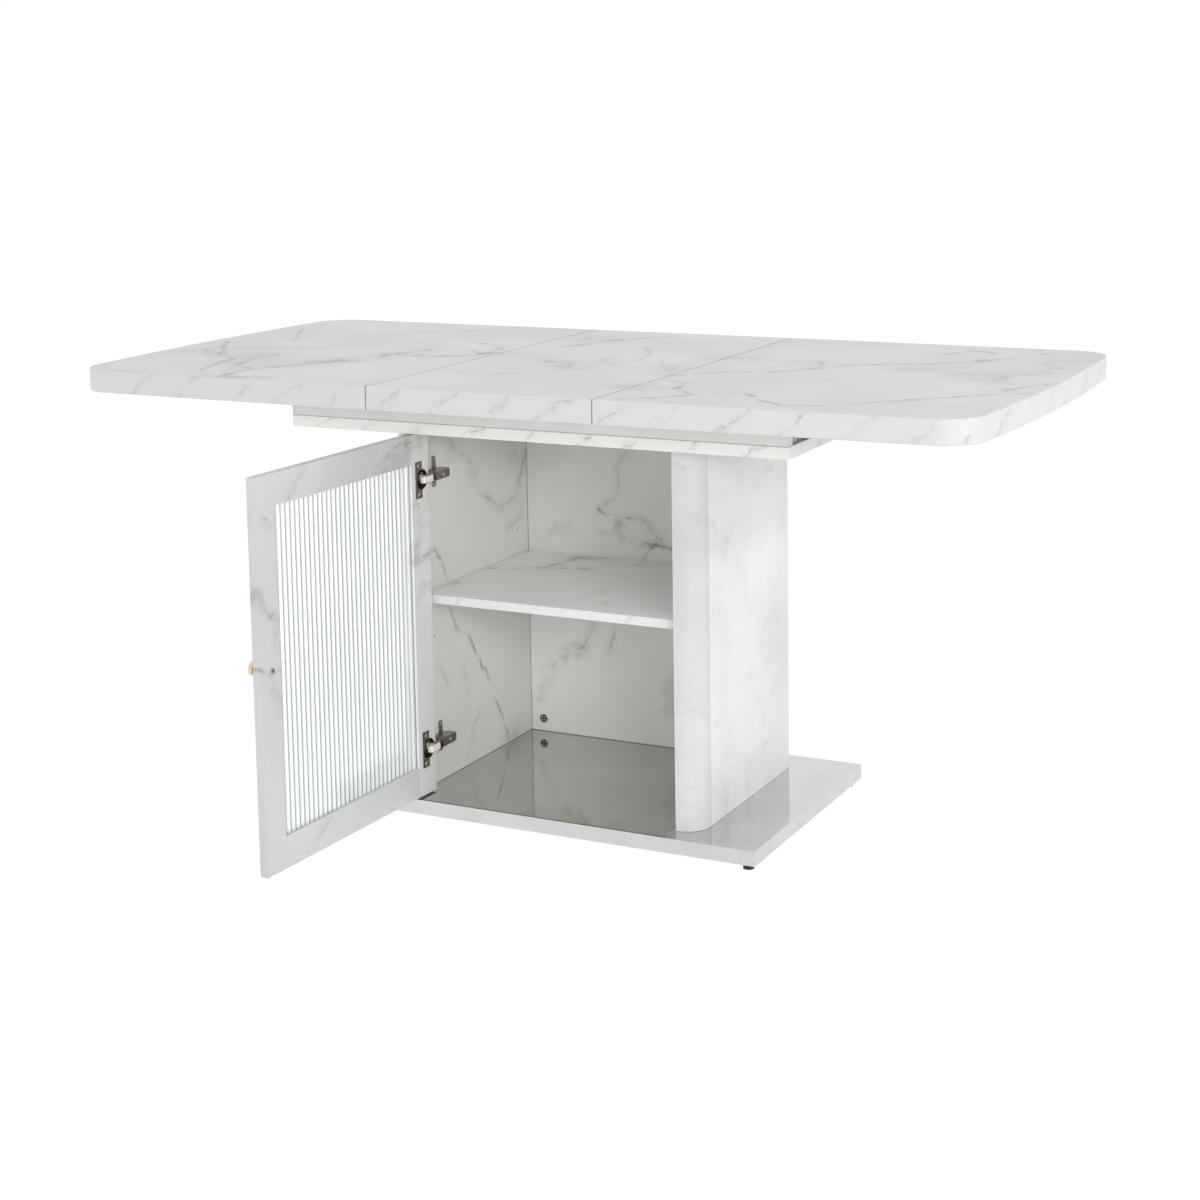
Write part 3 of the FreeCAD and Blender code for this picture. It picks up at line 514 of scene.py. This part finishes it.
def metal(name, colour, roughness, wear=0.12, purity=1.0, brushed=False):
    """Bare or plated metal with uneven tone and gloss. Brushed metal has fine lines along X."""
    shader = Shader(name, {"Metallic": purity})
    patch = shader.noise(shader.place, scale=45.0, detail=4.0, roughness=0.6)[0]
    worn = shader.mix(shader.step(patch, 0.35, 0.7), colour, scaled(colour, 1 - wear))
    uneven = shader.step(patch, 0.3, 0.7, roughness * 0.8, roughness * 1.25)
    shader.apply({"Base Color": worn, "Roughness": uneven})
    if brushed:
        lines = shader.noise(shader.mapped(shader.place, scale=(0.02, 1, 1)), scale=60.0, detail=3.0)[0]
        shader.bump(lines, strength=0.1, distance=0.0004)
    return shader.material


def base_steel(name, open_tone, shaded_inside_tone):
    """Polished steel with a fine upright grain, and painted shade that darkens
    its upward faces inside the cabinet.
    """
    shader = Shader(name, {"Metallic": 1.0})
    along, across_it, _ = shader.split(shader.place)
    from_middle = shader.math("ABSOLUTE", along)
    beside = shader.fade(from_middle, CABINET_HALF, CABINET_HALF + CABINET_FADE)
    inside = shader.times(beside, shader.math("GREATER_THAN", shader.facing()[2], 0.8))
    # Painted shade: darker inside the cabinet.
    shading_tint = shader.mix(inside, open_tone, shaded_inside_tone)
    from_front = shader.math("ADD", across_it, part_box("base_cladding")[1].y)
    rim = shader.times(shader.fade(from_front, RIM_START, RIM_END, 0.8), inside)
    shading_tint = shader.mix(rim, shading_tint, RIM_TONE)
    flat = shader.mapped(shader.place, scale=(1, 1, 0.4))
    patch = shader.step(shader.noise(flat, scale=9.0, detail=3.0)[0], 0.4, 0.6, 0.0, 0.05)
    shading_tint = shader.mix(patch, shading_tint, BLACK)
    long = shader.mapped(shader.place, scale=(1, 0.06, 1))
    grain = shader.noise(long, scale=420.0, detail=3.0, roughness=0.6)[0]
    colour = shader.mix(shader.step(grain, 0.35, 0.65), shading_tint, shader.mix(0.06, shading_tint, BLACK))
    shader.apply({"Base Color": colour, "Roughness": shader.step(grain, 0.3, 0.7, 0.05, 0.08)})
    shader.bump(grain, strength=0.01, distance=0.0002)
    return shader.material


def plastic(name, colour):
    """Moulded plastic with a fine grain."""
    shader = Shader(name)
    grain = shader.noise(shader.place, scale=300.0, detail=3.0)[0]
    lighter = scaled(colour, 1.3, lift=0.004)
    shader.apply({"Base Color": shader.mix(grain, colour, lighter), "Roughness": 0.5})
    shader.bump(grain, strength=0.15, distance=0.0003)
    return shader.material


# ---------------------------------------------------------------- glass

REEDS = 31
# How deep the pane sits in the grooves of the door's stiles.
HIDDEN_EDGE = 0.0077


def clear_glass(name, see_through):
    """Smooth glass that lets its light through unbent, all of it or a share."""
    surface = {"Roughness": 0.0, "IOR": 1.05, "Specular IOR Level": 1.0}
    return Shader(name, {"Transmission Weight": see_through, **surface})


def cloudiness(shader):
    """A soft, wide unevenness in glass, and its trace in the surface."""
    shader.bump(shader.noise(shader.place, scale=9.0, detail=1.0)[0], strength=0.01, distance=0.0005)
    return shader.step(shader.noise(shader.place, scale=8.0)[0], 0.3, 0.7)


def plain_glass(name):
    """The flat inner face of the pane, with a hardly seen mottle."""
    shader = clear_glass(name, 1.0)
    colour = shader.mix(cloudiness(shader), tone(253, 254, 254), tone(249, 251, 251))
    shader.apply({"Base Color": colour})
    return shader.material


def reeded_glass(name):
    """The outer face of the pane, with painted shade on one side of each reed and painted grey lines
    where the reeds meet, which stand in for the light that the reeds bend. It is darker towards the bottom.
    """
    shader = clear_glass(name, 0.5)
    low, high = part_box("reeded_glass")
    hinge_y = high.y - HIDDEN_EDGE
    pitch = (hinge_y - HIDDEN_EDGE - low.y) / REEDS
    reeds = shader.math("DIVIDE", shader.math("SUBTRACT", shader.coordinate("y"), hinge_y), pitch)
    phase = shader.math("FRACT", reeds)
    valley = shader.math("MINIMUM", phase, shader.math("SUBTRACT", 1.0, phase))
    # Painted lines where the reeds meet, fainter next to the hinge, and painted shade on one side of each
    # reed.
    by_hinge = shader.step(shader.math("ABSOLUTE", reeds), 0.4, 3.0, 0.35, 1.0)
    line = shader.times(shader.fade(valley, 0.08, 0.18), by_hinge)
    painted_slope_shade = shader.fade(shader.apart(phase, 0.28), 0.05, 0.2)
    near_floor = shader.fade(shader.coordinate("z"), 0.1, 0.45)
    colour = shader.mix(cloudiness(shader), tone(240, 242, 242), tone(234, 237, 237))
    colour = shader.mix(near_floor, colour, tone(222, 226, 227))
    colour = shader.mix(painted_slope_shade, colour, tone(218, 222, 224))
    shader.apply({"Base Color": shader.mix(line, colour, tone(140, 143, 145))})
    return shader.material


# ---------------------------------------------------------------- meshes

# A screw head's height as a share of its radius, and its outline as shares of both.
HEAD_HEIGHT = 0.42
HEAD_OUTLINE = ((0.96, 0.0), (1.0, 0.25), (0.9, 0.65), (0.6, 0.93), (0.0, 1.0))
# The cross in it: length and width as shares of the radius, level and depth as shares of the height.
CROSS_LENGTH, CROSS_WIDTH, CROSS_LEVEL, CROSS_DEPTH = 1.15, 0.3, 1.03, 0.5


def new_object(name, bm, material, body, smooth_angle):
    """An object from a bmesh, with a material, that rides on a body."""
    mesh = bpy.data.meshes.new(name)
    bm.to_mesh(mesh)
    bm.free()
    thing = bpy.data.objects.new(name, mesh)
    bpy.context.scene.collection.objects.link(thing)
    mesh.materials.append(material)
    mesh.shade_smooth()
    mesh.set_sharp_from_angle(angle=math.radians(smooth_angle))
    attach(thing, body)
    return thing


def restored(node, material, smooth_angle=30):
    """A copy of a CAD node with whole faces in place of its facets, which stands for the node."""
    bm = bmesh.new()
    bm.from_mesh(nodes[node].data)
    bmesh.ops.remove_doubles(bm, verts=bm.verts, dist=1e-6)
    bmesh.ops.dissolve_limit(bm, angle_limit=math.radians(1), verts=bm.verts, edges=bm.edges)
    thing = new_object(f"{node}_finished", bm, material, BODY_OF[node], smooth_angle)
    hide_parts(node)
    return thing


def softened(thing, width):
    """Rounds the sharp edges of an object by a width."""
    bevel = thing.modifiers.new("round", "BEVEL")
    bevel.width = width
    bevel.segments = 2
    bevel.limit_method = "ANGLE"
    bevel.angle_limit = math.radians(35)
    bevel.harden_normals = True


def across(out):
    """A direction at its unit length, and two that are square to it and to each other."""
    out = Vector(out).normalized()
    side = out.cross(Vector((0, 0, 1)) if abs(out.z) < 0.9 else Vector((1, 0, 0))).normalized()
    return out, side, out.cross(side)


def turned(bm, spot, out, profile, count=24):
    """Adds a form turned about a line out of a spot, from pairs of radius and height."""
    out, side, up = across(out)
    angles = [2 * math.pi * step / count for step in range(count)]
    rings = []
    for radius, height in profile:
        middle = Vector(spot) + out * height
        if radius == 0:
            rings.append([bm.verts.new(middle)])
            continue
        rings.append([
            bm.verts.new(middle + (side * math.cos(a) + up * math.sin(a)) * radius) for a in angles
        ])
    for first, second in zip(rings, rings[1:]):
        for i in range(count):
            j = (i + 1) % count
            corners = [first[i % len(first)], first[j % len(first)]]
            corners += [second[j % len(second)], second[i % len(second)]]
            bm.faces.new(list(dict.fromkeys(corners)))


def crossed(bm, spot, out, length, width, depth):
    """Adds a solid cross that lies on a spot, dark as painted shade in place of a cross recess.
    Returns its faces.
    """
    out, side, up = across(out)
    half, arm = width / 2, length / 2
    outline = []
    for turn in range(4):
        for x, y in ((half, half), (half, arm), (-half, arm)):
            for _ in range(turn):
                x, y = -y, x
            outline.append((x, y))
    rings = []
    for height in (-depth, 0.0):
        middle = Vector(spot) + out * height
        rings.append([bm.verts.new(middle + side * x + up * y) for x, y in outline])
    count = len(outline)
    faces = [bm.faces.new(rings[1]), bm.faces.new(rings[0][::-1])]
    for i in range(count):
        j = (i + 1) % count
        faces.append(bm.faces.new((rings[0][i], rings[0][j], rings[1][j], rings[1][i])))
    return faces


def screw_heads(name, spots, out, radius, metal_finish, recess_shade_finish, body):
    """Domed screw heads with a dark cross of painted shade in place of a recess,
    seated on spots and looking one way.
    """
    bm = bmesh.new()
    height = radius * HEAD_HEIGHT
    profile = [(radius * wide, height * high) for wide, high in HEAD_OUTLINE]
    length, width = radius * CROSS_LENGTH, radius * CROSS_WIDTH
    for spot in spots:
        turned(bm, spot, out, profile)
        top = Vector(spot) + Vector(out).normalized() * (height * CROSS_LEVEL)
        for face in crossed(bm, top, out, length, width, height * CROSS_DEPTH):
            face.material_index = 1
    bmesh.ops.recalc_face_normals(bm, faces=bm.faces)
    thing = new_object(name, bm, metal_finish, body, smooth_angle=40)
    thing.data.materials.append(recess_shade_finish)


def opened(x, y, z):
    """Where a place on the closed door lies with the door open, in metres from millimetres."""
    turn = Matrix.Rotation(-math.radians(DOOR_JOINT["range_deg"][1]), 4, "Z")
    hinge = Vector((*DOOR_JOINT["pos_m"][:2], 0))
    return hinge + turn @ (metres(x, y, z) - hinge)


def paint(material, *names):
    """Gives CAD nodes a material."""
    for name in names:
        materials = nodes[name].data.materials
        materials.clear()
        materials.append(material)


# ---------------------------------------------------------------- floor and light

# Light levels, where 1 shows as white.
SURROUND_LIGHT = 0.64
OVERHEAD_LIGHT = 0.56
FLOOR_LIGHT = 0.62
# The sines of the heights at which the surround starts to dim, and is as dim as overhead.
DIM_START, DIM_END = 0.2, 0.8
# How far the floor reaches from the middle.
FLOOR_REACH = 60
# Each lamp: its place, what it looks at, its width and height, and its power in watts.
LAMPS = {
    "front_lamp": ((1.0, -4.6, 0.95), (0.0, 0.0, 0.4), 3.0, 1.1, 14),
    "corner_lamp": ((3.3, -3.3, 1.55), (0.0, 0.0, 0.4), 2.0, 1.2, 78),
    "left_lamp": ((-3.0, -0.9, 0.8), (-0.28, -0.2, 0.35), 1.2, 1.2, 16),
    "side_lamp": ((2.54, 0.0, 1.57), (0.3, 0.0, 0.35), 0.5, 0.12, 8),
}


def shown_white(tree, lit):
    """White where it is seen, mirrored or looked at through glass, and a dimmer level as plain light."""
    path = tree.nodes.new("ShaderNodeLightPath")
    level = tree.nodes.new("ShaderNodeMix")
    tree.links.new(path.outputs["Is Diffuse Ray"], level.inputs[0])
    level.inputs[2].default_value = 1.0
    if isinstance(lit, bpy.types.NodeSocket):
        tree.links.new(lit, level.inputs[3])
    else:
        level.inputs[3].default_value = lit
    return level.outputs[0]


def make_floor():
    """A plain pale floor that is lit so evenly that it meets the backdrop unseen."""
    bm = bmesh.new()
    bmesh.ops.create_grid(bm, x_segments=1, y_segments=1, size=FLOOR_REACH)
    mesh = bpy.data.meshes.new("floor")
    bm.to_mesh(mesh)
    bm.free()
    floor = bpy.data.objects.new("floor", mesh)
    bpy.context.scene.collection.objects.link(floor)
    shader = Shader("floor", {"Roughness": 1.0, "Specular IOR Level": 0.0})
    shader.apply({
        "Base Color": (0.06, 0.06, 0.06, 1.0),
        "Emission Color": (1.0, 1.0, 1.0, 1.0),
        "Emission Strength": shown_white(shader.tree, FLOOR_LIGHT),
    })
    mesh.materials.append(shader.material)


def make_surround():
    """An even pale surround, dimmer overhead."""
    world = bpy.data.worlds.new("studio")
    world.use_nodes = True
    bpy.context.scene.world = world
    tree = world.node_tree
    background = tree.nodes["Background"]
    place = tree.nodes.new("ShaderNodeTexCoord")
    split = tree.nodes.new("ShaderNodeSeparateXYZ")
    dimmed = tree.nodes.new("ShaderNodeMapRange")
    dimmed.interpolation_type = "SMOOTHSTEP"
    for socket, value in enumerate((DIM_START, DIM_END, SURROUND_LIGHT, OVERHEAD_LIGHT), start=1):
        dimmed.inputs[socket].default_value = value
    tree.links.new(place.outputs["Generated"], split.inputs[0])
    tree.links.new(split.outputs[2], dimmed.inputs["Value"])
    tree.links.new(shown_white(tree, dimmed.outputs[0]), background.inputs["Strength"])
    background.inputs["Color"].default_value = (1, 1, 1, 1)


def make_lamp(name, place, aim, width, height, power):
    """A rectangular studio lamp, which no glossy face mirrors."""
    lamp = bpy.data.lights.new(name, "AREA")
    lamp.shape = "RECTANGLE"
    lamp.size = width
    lamp.size_y = height
    lamp.energy = power
    thing = bpy.data.objects.new(name, lamp)
    turn = (Vector(place) - Vector(aim)).to_track_quat("Z", "Y")
    thing.matrix_world = Matrix.LocRotScale(Vector(place), turn, None)
    thing.visible_glossy = False
    bpy.context.scene.collection.objects.link(thing)


make_camera()
make_floor()
make_surround()
for lamp_name, lamp_facts in LAMPS.items():
    make_lamp(lamp_name, *lamp_facts)
bpy.context.scene.view_settings.view_transform = "Standard"

# ---------------------------------------------------------------- finishes of the table top

half_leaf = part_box("leaf")[1].x
top_look = {
    "edges": True, "seams": (-half_leaf, half_leaf),
    "seed": 4.0, "core": 0.008, "halo": 0.75, "smoke": 0.16, "net": 0.3, "wander": 0.02,
    "light": tone(227, 228, 229), "shade": tone(221, 223, 225),
    "vein": tone(164, 154, 147), "dark": tone(132, 121, 113), "edge_light": tone(218, 221, 220),
}
# Painted shade: the right half of the top is a darker copy of the top's marble.
shaded_right_look = {**top_look, "light": tone(224, 225, 226), "shade": tone(218, 220, 222)}
paint(marble("left_top_marble", routes=LEFT_TOP_VEINS, **top_look), "half_top_left")
paint(marble("leaf_marble", routes=LEAF_VEINS, **top_look), "leaf")
paint(marble("right_top_shaded_marble", routes=RIGHT_TOP_VEINS, **shaded_right_look), "half_top_right")

# ---------------------------------------------------------------- finishes of the cabinet

board_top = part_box("frame_board")[1].z
base_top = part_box("base_cladding")[1].z
shelf_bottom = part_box("shelf")[0].z
wall_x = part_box("side_panel_left")[1].x
back_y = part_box("back_panel")[0].y
# Where the column's rounded corner ends, and the height of the thin line round its foot.
corner_end_y = -0.163
foot_line_z = 0.108

column_look = {
    "seed": 9.0, "turn": (0.7, 0.3, 0), "light": tone(240, 241, 241),
    "net": 0.1, "smoke": 0.06, "streaks": 0.22,
}
inner_look = {
    "light": tone(242, 243, 239), "shade": tone(235, 236, 232), "halo": 0.7, "core": 0.0038,
    "smoke": 0.26, "net": 0.34, "vein": tone(180, 172, 165), "dark": tone(150, 138, 130),
}
# Painted light and shade: one laminate, darker for the side and back walls, lighter for the shelf.
shaded_side_look = {**inner_look, "light": tone(233, 234, 230), "shade": tone(226, 227, 223), "core": 0.0042}
back_look = {**inner_look, "light": tone(238, 239, 235), "shade": tone(231, 232, 228), "core": 0.0028}
lit_shelf_look = {**inner_look, "light": tone(253, 253, 251), "shade": tone(250, 250, 248), "core": 0.006}
# Painted shade along the inside corner where a wall meets the base.
base_corner_shade = ("z", base_top, 0.0022, 0.9)

# The dark line along the board's top, under the rails, is painted shade.
board_stone = marble(
    "board_marble", edges=True, seed=2.0, edge_light=tone(246, 247, 242),
    joints=(("z", board_top, 0.0018, 0.7),),
)
# Painted shade: the column's front and rounded corner, in front of its joint line, are darker than its side.
near_column_stone = marble(
    "column_marble", **column_look,
    shading_tint=(0.84, 0.84, 0.84, 1.0), levels=(("y", corner_end_y),),
    joints=(("y", corner_end_y, 0.0014, 0.3), ("z", foot_line_z, 0.0014, 0.12)),
)
far_column_stone = marble(
    "far_column_marble", **column_look, joints=(("y", corner_end_y, 0.0012, 0.4),),
)
# Painted light: the side walls are lighter below the shelf; their corner lines are painted shade.
side_stone = marble(
    "side_wall_marble", seed=6.0, routes=SIDE_WALL_VEINS, plane="yz", **shaded_side_look,
    shading_tint=(1.04, 1.04, 1.04, 1.0), levels=(("z", shelf_bottom),),
    joints=(base_corner_shade, ("y", back_y, 0.0016, 0.7)),
)
# Painted light: the back wall is lighter below the shelf; its corner lines are painted shade.
back_stone = marble(
    "back_wall_marble", seed=7.0, routes=BACK_WALL_VEINS, plane="xz", **back_look,
    shading_tint=(1.11, 1.11, 1.11, 1.0), levels=(("z", shelf_bottom), ("y", back_y + 0.002)),
    joints=(base_corner_shade, ("x", wall_x, 0.0016, 0.7)),
)
# The dark line where the shelf meets the back wall is painted shade.
shelf_stone = marble(
    "shelf_marble", seed=8.0, routes=SHELF_VEINS, **lit_shelf_look,
    edges=True, edge_light=tone(233, 235, 235), edge_vein=tone(204, 202, 200), edge_pitch=0.061,
    joints=(("y", back_y, 0.003, 0.4),),
)
grey_laminate = plain_laminate("grey_laminate", tone(233, 234, 230))
# The second tone is the painted shade of the base inside the cabinet.
steel = base_steel("polished_steel", tone(211, 212, 211), tone(199, 199, 195))
paint(side_stone, "side_panel_left", "side_panel_right")
paint(back_stone, "back_panel")
paint(plain_laminate("board_core", tone(190, 170, 140)), "base_core")

# ---------------------------------------------------------------- finishes of the door

# The open door's veins are given by X on the closed door, which the unfolding turns Y into.
hinge_x, hinge_y, _ = DOOR_JOINT["pos_m"]
door_look = {
    "seed": 11.0, "routes": DOOR_VEINS, "plane": "yz", "halo": 0.95, "core": 0.0036, "smoke": 0.3,
    "dark": tone(150, 140, 132), "unfold": ((1, -1, 1), (0, 0, 0), (0, hinge_x + hinge_y, 0)),
}
door_stone = marble("door_marble", light=tone(217, 218, 218), shade=tone(208, 209, 209), **door_look)
# Painted light: a lighter copy of the door's marble, to lift the shade the cabinet casts on the hinge stile.
lightened_hinge_stile_stone = marble(
    "hinge_stile_lightened_marble", light=tone(236, 236, 235), shade=tone(228, 228, 228), **door_look,
)
paint(lightened_hinge_stile_stone, "door_stile_hinge")
paint(door_stone, "door_stile_free", "door_rail_top", "door_rail_bottom")

# ---------------------------------------------------------------- finishes of the metal parts

nickel = metal("hinge_nickel", tone(168, 157, 144), 0.3, wear=0.25)
bright_nickel = metal("cover_nickel", tone(250, 249, 244), 0.4, wear=0.04, purity=0.1)
zinc = metal("screw_zinc", tone(214, 214, 211), 0.3)
# Painted light: near white and hardly metallic, to lift the shade the tracks lie in under the top.
lightened_aluminium = metal("track_aluminium", tone(248, 248, 245), 0.5, wear=0.05, purity=0.1, brushed=True)
brass = metal("knob_brass", tone(226, 207, 168), 0.3, wear=0.05)
dull_brass = metal("screw_brass", tone(172, 152, 108), 0.35)
# Dark plastic as painted shade in the cross recesses of screws and cam locks; it also makes the cam locks'
# rings.
recess = plastic("painted_recess_shade", tone(38, 36, 34))
paint(plastic("black_plastic", tone(24, 24, 25)), "base_feet")
paint(zinc, "cam_locks", "shelf_pins", "arm_screws", "cup_screws", "hinge_pins")
paint(brass, "door_knob", "knob_screw")
paint(nickel, "hinge_cups")
for end in ("upper", "lower"):
    paint(nickel, f"hinge_plate_{end}", f"hinge_arm_{end}")
    paint(bright_nickel, f"hinge_link_{end}")
for side in ("front", "rear"):
    for half in ("left", "right"):
        paint(lightened_aluminium, f"track_{side}_{half}", f"runner_{side}_{half}")

# ---------------------------------------------------------------- nodes that are replaced

pane = restored("reeded_glass", plain_glass("plain_glass"), smooth_angle=15)
pane.visible_shadow = False
pane.data.materials.append(reeded_glass("reeded_glass"))
outward = (opened(0, -1000, 0) - opened(0, 0, 0)).normalized()
for face in pane.data.polygons:
    if face.normal.dot(outward) > 0.3:
        face.material_index = 1

for node, width, material in (
    ("shelf", 0.001, shelf_stone),
    ("frame_board", 0.0008, board_stone),
    ("rail_front", 0.0008, grey_laminate),
    ("rail_rear", 0.0008, grey_laminate),
    ("side_shell_left", 0.0008, far_column_stone),
    ("side_shell_right", 0.0008, near_column_stone),
    ("base_cladding", 0.0008, steel),
):
    paint(material, node)
    softened(restored(node, material), width)

# ---------------------------------------------------------------- small fasteners

SCREW_RADIUS = 0.0036
KNOB_SCREW_RADIUS = 0.0038
# Where the screws are seated, in millimetres. The cups' and the knob's are on the closed door.
HINGE_HEIGHTS = (577, 116)
PLATE_SCREWS, PLATE_SCREW_STEP = (-236, -138), 21
ARM_SCREWS = (-210.6, -149)
CUP_SCREWS, CUP_SCREW_STEP = (-205, -189), 24
KNOB_SCREW = (207, -188.4, 355)
# The cam locks' X and Z, and the ring round each: pairs of radius and height over the wall.
CAM_LOCKS = ((-0.213, 0.059), (0.213, 0.059))
CAM_RING = ((0.0054, 0.0), (0.0056, 0.0006), (0.0066, 0.0009), (0.0075, 0.0006), (0.0077, 0.0))
# How far the cross stands over the wall.
CAM_CROSS_LIFT = 0.00015

inward = opened(0, 1000, 0) - opened(0, 0, 0)
plate_spots = [
    metres(*PLATE_SCREWS, z + step) for z in HINGE_HEIGHTS for step in (-PLATE_SCREW_STEP, PLATE_SCREW_STEP)
]
arm_spots = [metres(*ARM_SCREWS, z) for z in HINGE_HEIGHTS]
cup_spots = [
    opened(*CUP_SCREWS, z + step) for z in HINGE_HEIGHTS for step in (-CUP_SCREW_STEP, CUP_SCREW_STEP)
]
knob_spots = [opened(*KNOB_SCREW)]
screw_heads("plate_screw_heads", plate_spots, (1, 0, 0), SCREW_RADIUS, zinc, recess, "frame")
screw_heads("arm_screw_heads", arm_spots, (1, 0, 0), SCREW_RADIUS, zinc, recess, "frame")
screw_heads("cup_screw_heads", cup_spots, inward, SCREW_RADIUS, zinc, recess, "door")
screw_heads("knob_screw_face", knob_spots, inward, KNOB_SCREW_RADIUS, dull_brass, recess, "door")


def add_cam_rings():
    """The dark ring round each cam lock, and a dark cross on it that is painted shade in place of its
    recess.
    """
    bm = bmesh.new()
    for x, z in CAM_LOCKS:
        turned(bm, (x, back_y, z), (0, -1, 0), CAM_RING, count=32)
        top = (x, back_y - CAM_CROSS_LIFT, z)
        crossed(bm, top, (0, -1, 0), length=0.0095, width=0.0024, depth=0.0005)
    bmesh.ops.recalc_face_normals(bm, faces=bm.faces)
    new_object("cam_lock_rings", bm, recess, "frame", smooth_angle=40)


add_cam_rings()
